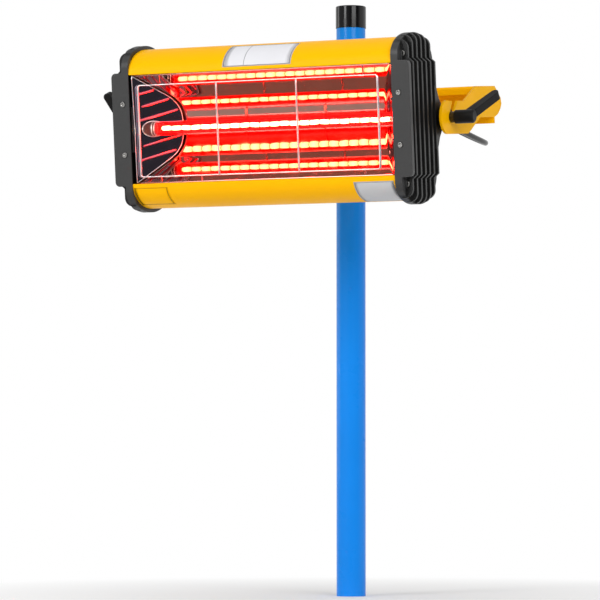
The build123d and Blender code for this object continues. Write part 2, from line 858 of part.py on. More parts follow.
# Mains gland on the rear wall: a nut inside, a hexagon outside and a tapered strain relief
gland_end = shell_depth + gland_hex + relief_length
with BuildPart() as gland_body:
    with BuildSketch(Plane.XZ.offset(-shell_depth)):
        with Locations((gland_x, gland_z)):
            RegularPolygon(gland_hex_radius, 6)
    extrude(amount=-gland_hex)
    with BuildSketch(Plane.XZ.offset(-shell_depth)):
        with Locations((gland_x, gland_z)):
            Circle(gland_thread_radius)
    extrude(amount=shell_sheet + gland_nut_length)
    with BuildSketch(Plane.XZ.offset(-(shell_depth - shell_sheet - gland_nut_length))):
        with Locations((gland_x, gland_z)):
            Circle(cord_radius + seat_gap)
    extrude(amount=-(gland_nut_length + shell_sheet + gland_hex), mode=Mode.SUBTRACT)

gland_body.part.move(head_place)
gland_body.part.label = "gland_body"
export_step(gland_body.part, "parts/gland_body.step")

with BuildPart() as gland_nut:
    with BuildSketch(Plane.XZ.offset(-(shell_depth - shell_sheet))):
        with Locations((gland_x, gland_z)):
            RegularPolygon(gland_hex_radius, 6)
            Circle(gland_thread_radius + running_gap, mode=Mode.SUBTRACT)
    extrude(amount=gland_nut_length)

gland_nut.part.move(head_place)
gland_nut.part.label = "gland_nut"
export_step(gland_nut.part, "parts/gland_nut.step")

with BuildPart() as strain_relief:
    with BuildSketch(Plane.XZ.offset(-(shell_depth + gland_hex))):
        with Locations((gland_x, gland_z)):
            Circle(relief_root_radius)
    with BuildSketch(Plane.XZ.offset(-gland_end)):
        with Locations((gland_x, gland_z)):
            Circle(relief_tip_radius)
    loft()
    with BuildSketch(Plane.XZ.offset(-(shell_depth + gland_hex))):
        with Locations((gland_x, gland_z)):
            Circle(cord_radius)
    extrude(amount=-relief_length, mode=Mode.SUBTRACT)

strain_relief.part.move(head_place)
strain_relief.part.label = "strain_relief"
export_step(strain_relief.part, "parts/strain_relief.step")

# The cord's stretch inside the gland and housing, the terminal block and its leads
sheath_start = shell_depth - shell_sheet - gland_nut_length - gland_thread_radius
with BuildPart() as cord_inlet:
    with BuildSketch(Plane.XZ.offset(-sheath_start)):
        with Locations((gland_x, gland_z)):
            Circle(cord_radius)
    extrude(amount=-(gland_end - sheath_start))

cord_inlet.part.move(head_place)
cord_inlet.part.label = "cord_inlet"
export_step(cord_inlet.part, "parts/cord_inlet.step")

block_back = chassis_depth + chassis_sheet
block_ways = [(block_x + side * block_length / 4, block_z) for side in (1, -1)]
with BuildPart() as terminal_block:
    with BuildSketch(Plane.XZ.offset(-block_back)):
        with Locations((block_x, block_z)):
            RectangleRounded(block_length, block_height, cap_edge)
    extrude(amount=-block_depth)
    with BuildSketch(Plane.XZ.offset(-(block_back + block_depth))):
        with Locations(block_ways):
            Circle(block_way_radius)
    extrude(amount=block_depth / 2, mode=Mode.SUBTRACT)

terminal_block.part.move(head_place)
terminal_block.part.label = "terminal_block"
export_step(terminal_block.part, "parts/terminal_block.step")

# Yoke: two hooked arms folded from a channel whose rear web is bolted to the collar
lean_share = tan(radians(slot_lean))
mouth_z = arm_top + overrun
web_middle = (yoke_top + web_low) / 2
bolt_places = [(sx * bolt_x, sz * bolt_z) for sx in (1, -1) for sz in (1, -1)]
arm_outline = [
    (nose_y, arm_top), (arm_rise_y, arm_top), (lip_y, yoke_top), (web_y + bend_radius, yoke_top),
] + [(y * arm_tail, z * yoke_top) for y, z in arm_edge_shares] + [(nose_y, -nose_radius)]
with BuildPart() as yoke:
    for side in (1, -1):
        with BuildSketch(Plane.YZ.offset(side * (arm_inner_x + yoke_sheet / 2) - yoke_sheet / 2)):
            with BuildLine():
                Polyline(arm_outline, close=True)
            make_face()
            with Locations((nose_y, 0)):
                Circle(nose_radius)
            with BuildLine():
                Polyline([
                    (-slot_width / 2, 0),
                    (lean_share * arm_top / 2 - slot_width / 2, arm_top / 2),
                    (lean_share * mouth_z - slot_width / 2 - slot_flare, mouth_z),
                    (lean_share * mouth_z + slot_width / 2 + slot_flare, mouth_z),
                    (lean_share * arm_top / 2 + slot_width / 2, arm_top / 2),
                    (slot_width / 2, 0),
                ], close=True)
            make_face(mode=Mode.SUBTRACT)
            Circle(slot_width / 2, mode=Mode.SUBTRACT)
        extrude(amount=yoke_sheet)
    with BuildSketch(Plane.YZ):
        with BuildLine():
            FilletPolyline(
                (lip_y, lip_low), (lip_y, yoke_top), (web_y, yoke_top), (web_y, web_low),
                radius=bend_radius,
            )
            offset(amount=yoke_sheet, side=Side.RIGHT)
        make_face()
    extrude(amount=arm_outer, both=True)
    with BuildSketch(Plane.XZ.offset(-web_y)):
        with Locations([(x, web_middle + z) for x, z in bolt_places]):
            Circle(bolt_radius)
    extrude(amount=yoke_sheet, mode=Mode.SUBTRACT)

yoke.part.move(yoke_place)
yoke.part.label = "yoke"
export_step(yoke.part, "parts/yoke.step")

# Collar on the post: a ring with a pad for the yoke's web in front and a threaded boss behind
collar_z = (pivot + lean_back * web_y + lean_up * web_middle).Z
pad_plane = Plane(
    origin=pivot + lean_back * web_y + lean_up * web_middle,
    x_dir=(1, 0, 0), z_dir=-lean_back,
)
pad_half_height = (yoke_top - web_low) / 2 - bend_radius
liner_radius = post_radius + running_gap + liner_wall
collar_bore = liner_radius + running_gap
with BuildPart() as clamp_liner:
    with BuildSketch(Plane.XY.offset(collar_z - collar_half_height - running_gap)):
        Circle(liner_radius)
    extrude(amount=2 * (collar_half_height + running_gap))
    for low in (collar_half_height + running_gap, -(collar_half_height + running_gap)):
        with BuildSketch(Plane.XY.offset(collar_z + low)):
            Circle(liner_radius + liner_flange)
        extrude(amount=liner_flange_height if low > 0 else -liner_flange_height)
    with BuildSketch(Plane.XY.offset(collar_z)):
        Circle(post_radius + running_gap)
    extrude(amount=2 * collar_half_height, both=True, mode=Mode.SUBTRACT)

clamp_liner.part.label = "clamp_liner"
export_step(clamp_liner.part, "parts/clamp_liner.step")

with BuildPart() as post_collar:
    with BuildSketch(Plane.XY.offset(collar_z - collar_half_height)):
        Circle(collar_radius)
    extrude(amount=2 * collar_half_height)
    with BuildSketch(pad_plane):
        Rectangle(2 * pad_half_width, 2 * pad_half_height)
    extrude(amount=-pad_depth)
    with BuildSketch(Plane.XZ.offset(-liner_radius)):
        with Locations((0, collar_z)):
            Circle(boss_radius)
    extrude(amount=-(boss_end - liner_radius))
    with BuildSketch(Plane.XY.offset(collar_z)):
        Circle(collar_bore)
    extrude(amount=2 * collar_half_height, both=True, mode=Mode.SUBTRACT)
    with BuildSketch(Plane.XZ):
        with Locations((0, collar_z)):
            Circle(knob_screw_radius + running_gap)
    extrude(amount=-(boss_end + overrun), mode=Mode.SUBTRACT)
    with BuildSketch(pad_plane):
        with Locations(bolt_places):
            Circle(bolt_radius)
    extrude(amount=-(bolt_length - yoke_sheet), mode=Mode.SUBTRACT)

post_collar.part.label = "post_collar"
export_step(post_collar.part, "parts/post_collar.step")

with BuildPart() as yoke_bolts:
    with BuildSketch(pad_plane.offset(yoke_sheet)):
        with Locations(bolt_places):
            Circle(bolt_head_radius)
    extrude(amount=bolt_head)
    with BuildSketch(pad_plane.offset(yoke_sheet + bolt_head)):
        with Locations(bolt_places):
            RegularPolygon(bolt_radius, 6)
    extrude(amount=-bolt_head / 2, mode=Mode.SUBTRACT)
    with BuildSketch(pad_plane.offset(yoke_sheet)):
        with Locations(bolt_places):
            Circle(bolt_radius)
    extrude(amount=-bolt_length)

yoke_bolts.part.label = "yoke_bolts"
export_step(yoke_bolts.part, "parts/yoke_bolts.step")

with BuildPart() as clamp_knob:
    with BuildSketch(Plane.XZ.offset(-(boss_end + clear_gap))):
        with Locations((0, collar_z)):
            Circle(knob_radius)
            with PolarLocations(knob_radius, knob_lobes):
                Circle(knob_lobe_radius)
    extrude(amount=-knob_thickness)
    fillet(clamp_knob.faces().sort_by(Axis.Y)[-1].edges(), knob_edge)
    with BuildSketch(Plane.XZ.offset(-(boss_end + clear_gap + knob_thickness))):
        with Locations((0, collar_z)):
            Circle(knob_hub_radius)
    extrude(amount=-knob_hub)
    with BuildSketch(Plane.XZ.offset(-(boss_end + clear_gap))):
        with Locations((0, collar_z)):
            Circle(knob_screw_radius)
    extrude(amount=-knob_thickness, mode=Mode.SUBTRACT)

clamp_knob.part.label = "clamp_knob"
export_step(clamp_knob.part, "parts/clamp_knob.step")

knob_screw_start = liner_radius + clear_gap
with BuildPart() as knob_screw:
    with BuildSketch(Plane.XZ.offset(-knob_screw_start)):
        with Locations((0, collar_z)):
            Circle(knob_screw_radius)
    extrude(amount=-(boss_end + clear_gap + knob_thickness - knob_screw_start))
    chamfer(knob_screw.faces().sort_by(Axis.Y)[0].edges(), seat_gap * liner_wall)

knob_screw.part.label = "knob_screw"
export_step(knob_screw.part, "parts/knob_screw.step")

# Pivot hardware of each side: a stud held in the cap, a washer in the yoke's hook and a lever
stud_start = shell_half_length + stud_flange_x
insert_start = arm_outer + seat_gap
for side, name, angle in ((1, "right", lever_right_angle), (-1, "left", lever_left_angle)):
    with BuildPart() as pivot_stud:
        with BuildSketch(Plane.YZ.offset(side * stud_start)):
            Circle(stud_flange_radius)
        extrude(amount=side * stud_flange)
        with BuildSketch(Plane.YZ.offset(side * stud_start)):
            Circle(stud_radius)
        extrude(amount=side * (stud_end - stud_start))

    pivot_stud.part.move(yoke_place)
    pivot_stud.part.label = f"pivot_stud_{name}"
    export_step(pivot_stud.part, f"parts/pivot_stud_{name}.step")

    with BuildPart() as pivot_washer:
        with BuildSketch(Plane.YZ.offset(side * outer_x)):
            Circle(washer_radius)
        extrude(amount=side * (arm_inner_x - outer_x))
        with BuildSketch(Plane.YZ.offset(side * outer_x)):
            Circle(slot_width / 2 - washer_neck_gap)
        extrude(amount=side * (arm_outer - outer_x))
        with BuildSketch(Plane.YZ.offset(side * outer_x)):
            Circle(stud_radius + running_gap)
        extrude(amount=side * cap_reach, mode=Mode.SUBTRACT)

    pivot_washer.part.move(yoke_place)
    pivot_washer.part.label = f"pivot_washer_{name}"
    export_step(pivot_washer.part, f"parts/pivot_washer_{name}.step")

    with BuildPart() as lever_insert:
        with BuildSketch(Plane.YZ.offset(side * insert_start)):
            Circle(insert_radius)
            Circle(stud_radius + running_gap, mode=Mode.SUBTRACT)
        extrude(amount=side * (stud_end - insert_start))

    lever_insert.part.move(yoke_place)
    lever_insert.part.label = f"lever_insert_{name}"
    export_step(lever_insert.part, f"parts/lever_insert_{name}.step")

    turn = radians(angle)
    outward = Vector(0, cos(turn), sin(turn))
    lever_plane = Plane(origin=(0, 0, 0), x_dir=outward, z_dir=outward.cross(Vector(side, 0, 0)))
    with BuildPart() as lever:
        with BuildSketch(Plane.YZ.offset(side * hub_start)):
            Circle(hub_radius)
        extrude(amount=side * (hub_end - hub_start))
        chamfer(lever.faces().sort_by(Axis.X)[-1 if side == 1 else 0].edges(), hub_edge)
        with BuildSketch(lever_plane):
            with Locations((0, lever_root_out)):
                Circle(lever_root_radius)
            with Locations((lever_reach - lever_tip_radius, lever_out - lever_tip_radius)):
                Circle(lever_tip_radius)
            make_hull()
        extrude(amount=lever_half_width, both=True)
        with BuildSketch(Plane.YZ.offset(side * hub_start)):
            Circle(insert_radius)
        extrude(amount=side * (stud_end - hub_start), mode=Mode.SUBTRACT)

    lever.part.move(Location(pivot))
    lever.part.label = f"lever_{name}"
    export_step(lever.part, f"parts/lever_{name}.step")

# Free cord from the strain relief to the coil behind the collar
coil_inner = coil_outer - front_half_turns * coil_pitch / 2 - coil_draw
coil_z = collar_z + boss_radius + clear_gap - coil_inner + cord_radius
cord_end = 2 * cord_radius
cord_exit = (head_place * Location((gland_x, gland_end, gland_z))).position
coil_entry = Vector(cord_end, coil_front_y, coil_z + coil_outer)
cord_points = [cord_exit + Vector(step) for step in cord_leaving_steps]
cord_points += [coil_entry + Vector(step) for step in cord_arriving_steps]


def route_radii(points):
    """Each corner's arc radius: 0.45 of the shorter run over the tangent of half the turn."""
    runs = [Vector(end) - Vector(start) for start, end in zip(points, points[1:])]
    radii = []
    for before, after in zip(runs, runs[1:]):
        half_turn = radians(before.get_angle(after)) / 2
        radii.append(arc_share * min(before.length, after.length) / tan(half_turn))
    return radii


cord_radii = route_radii(cord_points)
print("cord arc radii", [round(radius) for radius in cord_radii])
with BuildLine() as cord_route:
    FilletPolyline(*cord_points, radius=cord_radii)

cord_path = cord_route.wires()[0]
with BuildPart() as mains_cord:
    with BuildSketch(Plane(origin=cord_path @ 0, z_dir=cord_path % 0)):
        Circle(cord_radius)
    sweep(path=cord_path)

mains_cord.part.label = "mains_cord"
export_step(mains_cord.part, "parts/mains_cord.step")
cord_section = pi * cord_radius**2
print("cord volume share", mains_cord.part.volume / (cord_section * cord_path.length))

# Coil hung on the boss: it winds in along the front layer, climbs, and winds out along the rear one
coil_rear_y = coil_front_y + coil_layer
front_radii = [coil_outer - turn * coil_pitch / 2 for turn in range(front_half_turns)]
rear_radii = [coil_inner + coil_draw + turn * coil_pitch / 2 for turn in range(1, rear_half_turns + 2)]
coil_rows = [(radius, coil_front_y) for radius in front_radii + [coil_inner]]
coil_rows += [(radius, coil_rear_y) for radius in [coil_inner] + rear_radii]
coil_knots = [
    Vector(0, y, coil_z + (radius if number % 2 == 0 else -radius))
    for number, (radius, y) in enumerate(coil_rows)
]
with BuildLine() as coil_route:
    coil_curves = [Line(coil_knots[0] + Vector(cord_end, 0, 0), coil_knots[0])]
    for number, (knot, after) in enumerate(zip(coil_knots, coil_knots[1:])):
        heading = Vector(-1 if number % 2 == 0 else 1, 0, 0)
        joint = (knot + after) / 2 + heading * (after - knot).length / 2
        coil_curves.append(TangentArc(knot, joint, tangent=heading))
        if number < len(coil_knots) - 2:
            coil_curves.append(TangentArc(joint, after, tangent=coil_curves[-1] % 1))
    Line(joint, joint - Vector(0, 0, cord_end))

coil_path = coil_route.wires()[0]
with BuildPart() as cord_coil:
    with BuildSketch(Plane(origin=coil_path @ 0, z_dir=coil_path % 0)):
        Circle(cord_radius)
    sweep(path=coil_path)

cord_coil.part.label = "cord_coil"
export_step(cord_coil.part, "parts/cord_coil.step")
print("coil top", coil_knots[0], "length", coil_path.length, "cord", cord_path.length)
print("coil volume share", cord_coil.part.volume / (cord_section * coil_path.length))
coil_samples = [coil_path @ (number / coil_checks) for number in range(coil_checks + 1)]
least = min(
    (one - other).length
    for number, one in enumerate(coil_samples)
    for other in coil_samples[number + coil_turn_checks:]
)
print("least gap of the coil to itself", round(least - 2 * cord_radius, 2))

# Tail, plug and tie
tail_top = joint - Vector(0, 0, cord_end)
plug_x = tail_top.X
plug_y = tail_top.Y
neck_top = tail_top.Z - tail_length
body_top = neck_top - plug_neck
with BuildPart() as cord_tail:
    with BuildSketch(Plane.XY.offset(tail_top.Z)):
        with Locations((plug_x, plug_y)):
            Circle(cord_radius)
    extrude(amount=-tail_length)

cord_tail.part.label = "cord_tail"
export_step(cord_tail.part, "parts/cord_tail.step")

with BuildPart() as plug_body:
    with BuildSketch(Plane.XY.offset(body_top)):
        with Locations((plug_x, plug_y)):
            Rectangle(2 * plug_half_depth, 2 * plug_half_width)
    extrude(amount=-plug_length)
    fillet(plug_body.edges().filter_by(Axis.Z), plug_corner)
    with BuildSketch(Plane.XY.offset(body_top)):
        with Locations((plug_x, plug_y)):
            Circle(plug_neck_radius)
    extrude(amount=plug_neck)
    with BuildSketch(Plane.XY.offset(body_top - plug_length)):
        with GridLocations(0, pin_spacing, 1, 2):
            with Locations((plug_x, plug_y)):
                Circle(pin_radius)
    extrude(amount=pin_length / 2, mode=Mode.SUBTRACT)

plug_body.part.label = "plug_body"
export_step(plug_body.part, "parts/plug_body.step")

with BuildPart() as plug_pins:
    with BuildSketch(Plane.XY.offset(body_top - plug_length)):
        with Locations([(plug_x, plug_y + side * pin_spacing / 2) for side in (1, -1)]):
            Circle(pin_radius)
    extrude(amount=pin_length / 2)
    extrude(plug_pins.faces().sort_by(Axis.Z)[:2], amount=pin_length)

plug_pins.part.label = "plug_pins"
export_step(plug_pins.part, "parts/plug_pins.step")

tie_low = coil_z - coil_outer + coil_pitch / 2 - cord_radius - tie_sheet / 4
tie_high = coil_z - coil_inner + cord_radius + tie_gap
tie_half_depth = coil_layer / 2 + cord_radius + tie_sheet / 4
with BuildPart() as cord_tie:
    with BuildSketch(Plane.YZ.offset(-tie_width / 2)):
        with Locations(((coil_front_y + coil_rear_y) / 2, (tie_low + tie_high) / 2)):
            RectangleRounded(
                2 * (tie_half_depth + tie_sheet), tie_high - tie_low + 2 * tie_sheet,
                cord_radius + tie_sheet,
            )
            RectangleRounded(
                2 * tie_half_depth, tie_high - tie_low, cord_radius, mode=Mode.SUBTRACT,
            )
    extrude(amount=tie_width)

cord_tie.part.label = "cord_tie"
export_step(cord_tie.part, "parts/cord_tie.step")
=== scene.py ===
import json
import math
import bmesh
import bpy
import numpy as np
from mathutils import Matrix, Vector


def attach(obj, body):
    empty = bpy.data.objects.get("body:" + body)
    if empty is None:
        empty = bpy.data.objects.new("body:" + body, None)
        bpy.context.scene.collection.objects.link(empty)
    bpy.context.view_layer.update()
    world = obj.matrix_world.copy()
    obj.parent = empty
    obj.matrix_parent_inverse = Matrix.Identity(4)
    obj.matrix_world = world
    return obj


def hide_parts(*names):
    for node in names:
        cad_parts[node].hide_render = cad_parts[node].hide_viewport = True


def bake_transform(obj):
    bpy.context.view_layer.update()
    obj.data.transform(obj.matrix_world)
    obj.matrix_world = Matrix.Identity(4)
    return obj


# The looks of the infrared paint curing lamp, in metres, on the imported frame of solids.
# Lengths of the lamp's own pieces are written in millimetres and multiplied by mm.
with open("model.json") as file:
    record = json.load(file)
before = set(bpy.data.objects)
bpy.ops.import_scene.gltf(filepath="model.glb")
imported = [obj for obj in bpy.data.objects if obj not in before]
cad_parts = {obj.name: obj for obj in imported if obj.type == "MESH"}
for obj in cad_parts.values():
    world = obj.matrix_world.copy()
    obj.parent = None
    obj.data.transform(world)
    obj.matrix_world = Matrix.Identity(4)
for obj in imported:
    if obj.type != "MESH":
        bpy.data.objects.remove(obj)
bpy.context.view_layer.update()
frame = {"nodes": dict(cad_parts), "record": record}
mm = 0.001

# Where the head and yoke lean: the pivot, the lean and the pivot's depth behind the front plane
PIVOT = np.array([0, -145, 506.5]) * mm
LEAN = math.radians(5.3)
PIVOT_DEPTH = 87.4 * mm
LEAN_BACK = np.array([0, math.cos(LEAN), math.sin(LEAN)])
LEAN_UP = np.array([0, -math.sin(LEAN), math.cos(LEAN)])

# Colours, as linear red, green and blue, and how deep the caps' front panel reaches, which is painted a
# lighter grey as a painted sheen
YELLOW = (1.0, 0.49, 0.0)
BLUE = (0.006, 0.24, 0.82)
CAP_BLACK = (0.022, 0.022, 0.022)
# Painted sheen on the caps' front panel and painted shade on their fins: a lighter grey and a darker
# black
PANEL_SHEEN_GREY = (0.040, 0.040, 0.040)
FIN_SHADE_BLACK = (0.010, 0.010, 0.010)
LEVER_BLACK = (0.010, 0.010, 0.010)
PANEL_DEPTH = 5.5 * mm
# Pinkish red of the polished reflector: a painted reflection of the tube's red glow scattered in the
# mirror
MIRROR_RED_GLOW = (0.64, 0.33, 0.27)


def on_head(points):
    """Places points given as x, depth behind the front plane and height on the leaned head."""
    points = np.asarray(points, float)
    base = PIVOT - LEAN_BACK * PIVOT_DEPTH
    across = points[..., :1] * np.array([1.0, 0, 0])
    return base + across + points[..., 1:2] * LEAN_BACK + points[..., 2:3] * LEAN_UP


def mesh_object(name, vertices, faces, smooth=True):
    """A new object of these vertices and faces, with its place in its mesh."""
    mesh = bpy.data.meshes.new(name)
    mesh.from_pydata(np.asarray(vertices).tolist(), [], [tuple(face) for face in faces])
    mesh.validate()
    mesh.polygons.foreach_set("use_smooth", [smooth] * len(mesh.polygons))
    piece = bpy.data.objects.new(name, mesh)
    bpy.context.scene.collection.objects.link(piece)
    return piece


def grid_faces(rows, columns, close_rows=False, close_columns=False):
    """Quads between neighbouring points of a grid, wrapped round where it closes."""
    row = np.arange(rows if close_rows else rows - 1)
    column = np.arange(columns if close_columns else columns - 1)
    r, c = (axis.ravel() for axis in np.meshgrid(row, column, indexing="ij"))
    after_r, after_c = (r + 1) % rows, (c + 1) % columns
    corners = (r * columns + c, after_r * columns + c, after_r * columns + after_c, r * columns + after_c)
    return np.stack(corners, axis=1)


def fix_outwards(piece):
    """Turns a closed mesh's faces outwards."""
    work = bmesh.new()
    work.from_mesh(piece.data)
    bmesh.ops.recalc_face_normals(work, faces=work.faces)
    work.to_mesh(piece.data)
    work.free()


def tube(name, path, radii, sides=16, closed=False):
    """A round tube: circles of each radius square to the path, turned with it without twist."""
    path = np.asarray(path, float)
    if closed:
        ahead, behind = np.roll(path, -1, axis=0), np.roll(path, 1, axis=0)
    else:
        ahead = np.vstack([path[1:], 2 * path[-1:] - path[-2:-1]])
        behind = np.vstack([2 * path[:1] - path[1:2], path[:-1]])
    along = ahead - behind
    along /= np.linalg.norm(along, axis=1, keepdims=True)
    start = np.cross(along[0], [0.3, 0.2, 1.0])
    normals = [start / np.linalg.norm(start)]
    for direction in along[1:]:
        flat = normals[-1] - direction * (normals[-1] @ direction)
        normals.append(flat / np.linalg.norm(flat))
    normals = np.array(normals)
    across = np.cross(along, normals)
    turn = np.linspace(0, 2 * math.pi, sides, endpoint=False)
    ring = normals[:, None] * np.cos(turn)[None, :, None] + across[:, None] * np.sin(turn)[None, :, None]
    radii = np.broadcast_to(np.asarray(radii, float), (len(path),))
    points = path[:, None] + ring * radii[:, None, None]
    faces = [tuple(face) for face in grid_faces(len(path), sides, closed, True)]
    if not closed:
        faces.append(tuple(range(sides)))
        last = (len(path) - 1) * sides
        faces.append(tuple(last + np.arange(sides)[::-1]))
    piece = mesh_object(name, points.reshape(-1, 3), faces)
    fix_outwards(piece)
    return piece


def material(name):
    """A new node material, its nodes, its links and its Principled shader."""
    made = bpy.data.materials.new(name)
    made.use_nodes = True
    return made, made.node_tree.nodes, made.node_tree.links, made.node_tree.nodes["Principled BSDF"]


def add_grain(made, scale, strength, distance=0.0002, detail=3.0, source="Object", edge=0.0):
    """Fine bump from noise on object coordinates, on edges that shade as rounded by a radius."""
    nodes, links = made.node_tree.nodes, made.node_tree.links
    place = nodes.new("ShaderNodeTexCoord")
    noise = nodes.new("ShaderNodeTexNoise")
    noise.inputs["Scale"].default_value = scale
    noise.inputs["Detail"].default_value = detail
    bump = nodes.new("ShaderNodeBump")
    bump.inputs["Strength"].default_value = strength
    bump.inputs["Distance"].default_value = distance
    links.new(place.outputs[source], noise.inputs["Vector"])
    links.new(noise.outputs["Fac"], bump.inputs["Height"])
    links.new(bump.outputs["Normal"], nodes["Principled BSDF"].inputs["Normal"])
    if edge:
        rounding = nodes.new("ShaderNodeBevel")
        rounding.samples = 6
        rounding.inputs["Radius"].default_value = edge
        links.new(rounding.outputs["Normal"], bump.inputs["Normal"])
    return noise


def vary(made, socket, low, high, scale, colours=False):
    """Drives a socket between two values by slow noise on object coordinates."""
    nodes, links = made.node_tree.nodes, made.node_tree.links
    place = nodes.new("ShaderNodeTexCoord")
    noise = nodes.new("ShaderNodeTexNoise")
    noise.inputs["Scale"].default_value = scale
    noise.inputs["Detail"].default_value = 4.0
    links.new(place.outputs["Object"], noise.inputs["Vector"])
    if colours:
        ramp = nodes.new("ShaderNodeValToRGB")
        ramp.color_ramp.elements[0].position = 0.3
        ramp.color_ramp.elements[1].position = 0.7
        ramp.color_ramp.elements[0].color = (*low, 1)
        ramp.color_ramp.elements[1].color = (*high, 1)
        links.new(noise.outputs["Fac"], ramp.inputs["Fac"])
        links.new(ramp.outputs["Color"], nodes["Principled BSDF"].inputs[socket])
    else:
        spread = nodes.new("ShaderNodeMapRange")
        spread.inputs["From Min"].default_value = 0.3
        spread.inputs["From Max"].default_value = 0.7
        spread.inputs["To Min"].default_value = low
        spread.inputs["To Max"].default_value = high
        links.new(noise.outputs["Fac"], spread.inputs["Value"])
        links.new(spread.outputs["Result"], nodes["Principled BSDF"].inputs[socket])


def shade(colour, amount):
    """The colour made darker or lighter by an amount."""
    return tuple(min(1.0, channel * amount) for channel in colour)


def painted(name, colour, rough, coat):
    """Powder coat: slightly uneven colour, fine orange peel and a clear gloss."""
    made, _, _, shader = material(name)
    vary(made, "Base Color", shade(colour, 0.96), shade(colour, 1.03), 9.0, colours=True)
    vary(made, "Roughness", rough - 0.05, rough + 0.05, 30.0)
    shader.inputs["Coat Weight"].default_value = coat
    shader.inputs["Coat Roughness"].default_value = 0.12
    shader.inputs["Specular IOR Level"].default_value = 0.06
    add_grain(made, 900.0, 0.12, 0.00008, edge=0.5 * mm)
    return made


def moulded(name, colour, rough, grain, gloss=0.3, edge=0.8 * mm):
    """Moulded plastic with a fine spark-eroded grain."""
    made, _, _, shader = material(name)
    vary(made, "Base Color", shade(colour, 0.85), shade(colour, 1.2), 40.0, colours=True)
    vary(made, "Roughness", rough - 0.05, rough + 0.07, 60.0)
    shader.inputs["Specular IOR Level"].default_value = gloss
    add_grain(made, 1800.0, grain, 0.0001, edge=edge)
    return made


def cap_plastic():
    """The end caps' plastic: a lighter grey on the front panel as a painted sheen, and darker on the fins
    as painted shade, by depth behind the front plane.
    """
    made = moulded("cap_plastic", CAP_BLACK, 0.42, 0.25, 0.4)
    nodes, links = made.node_tree.nodes, made.node_tree.links
    place = nodes.new("ShaderNodeTexCoord")
    depth = nodes.new("ShaderNodeVectorMath")
    depth.operation = "DOT_PRODUCT"
    depth.inputs[1].default_value = LEAN_BACK
    # Painted sheen on the front panel, painted shade on the fins, switched by depth behind the front
    # plane
    painted_sheen_mask = nodes.new("ShaderNodeMapRange")
    front = float(PIVOT @ LEAN_BACK) - PIVOT_DEPTH
    painted_sheen_mask.inputs["From Min"].default_value = front + PANEL_DEPTH
    painted_sheen_mask.inputs["From Max"].default_value = front + PANEL_DEPTH + 2.0 * mm
    tone = nodes.new("ShaderNodeMix")
    tone.data_type = "RGBA"
    tone.inputs["A"].default_value = (*PANEL_SHEEN_GREY, 1)
    tone.inputs["B"].default_value = (*FIN_SHADE_BLACK, 1)
    links.new(place.outputs["Object"], depth.inputs[0])
    links.new(depth.outputs["Value"], painted_sheen_mask.inputs["Value"])
    links.new(painted_sheen_mask.outputs["Result"], tone.inputs["Factor"])
    links.new(tone.outputs["Result"], nodes["Principled BSDF"].inputs["Base Color"])
    return made


def metal(name, colour, rough, grain=0.05, scale=600.0, edge=0.0):
    """Bare or plated metal with faint uneven gloss."""
    made, _, _, shader = material(name)
    shader.inputs["Metallic"].default_value = 1.0
    vary(made, "Base Color", shade(colour, 0.93), shade(colour, 1.04), 25.0, colours=True)
    vary(made, "Roughness", max(0.02, rough - 0.04), rough + 0.04, 80.0)
    add_grain(made, scale, grain, 0.00005, edge=edge)
    return made


MATERIALS = {
    "yellow_paint": painted("yellow_paint", YELLOW, 0.42, 0.0),
    "blue_paint": painted("blue_paint", BLUE, 0.30, 0.3),
    "black_paint": painted("black_paint", (0.012, 0.012, 0.012), 0.4, 0.2),
    "gloss_black": moulded("gloss_black", (0.003, 0.003, 0.004), 0.14, 0.02, 0.35, 0.0),
    "black_plastic": moulded("black_plastic", LEVER_BLACK, 0.42, 0.25, 0.15, 1.5 * mm),
    "cap_plastic": cap_plastic(),
    "nylon": moulded("nylon", (0.010, 0.010, 0.010), 0.5, 0.1, 0.08, 2.0 * mm),
    "cord_rubber": moulded("cord_rubber", (0.006, 0.006, 0.007), 0.28, 0.05, 0.5, 0.0),
    "zinc_steel": metal("zinc_steel", (0.5, 0.49, 0.47), 0.22, 0.1, edge=0.3 * mm),
    "zinc_sheet": metal("zinc_sheet", (0.6, 0.6, 0.6), 0.38, 0.15),
    "dark_steel": metal("dark_steel", (0.07, 0.07, 0.075), 0.34, 0.1),
    "guard_steel": metal("guard_steel", (0.97, 0.95, 0.95), 0.36, 0.03),
    "mirror_sheet": metal("mirror_sheet", MIRROR_RED_GLOW, 0.05, 0.02, 60.0),
    # Lavender tint on the end plates stands in for the dark purple they reflect: a painted reflection
    "mirror_plate": metal("mirror_plate", (0.42, 0.34, 0.46), 0.06, 0.03, 40.0),
    # The ribs' red stands in for the tube's glow reflected in them: a painted reflection
    "red_glint_rib": metal("red_glint_rib", (0.80, 0.13, 0.17), 0.3, 0.05),
    "plate_white": painted("plate_white", (0.74, 0.74, 0.77), 0.4, 0.0),
    "plate_silver": painted("plate_silver", (0.55, 0.56, 0.57), 0.4, 0.0),
    "plate_line": painted("plate_line", (0.22, 0.22, 0.24), 0.5, 0.0),
    "plate_brown": painted("plate_brown", (0.22, 0.11, 0.01), 0.5, 0.0),
    "ceramic": moulded("ceramic", (0.78, 0.74, 0.68), 0.5, 0.2),
    "nickel": metal("nickel", (0.75, 0.72, 0.66), 0.2, 0.04),
}


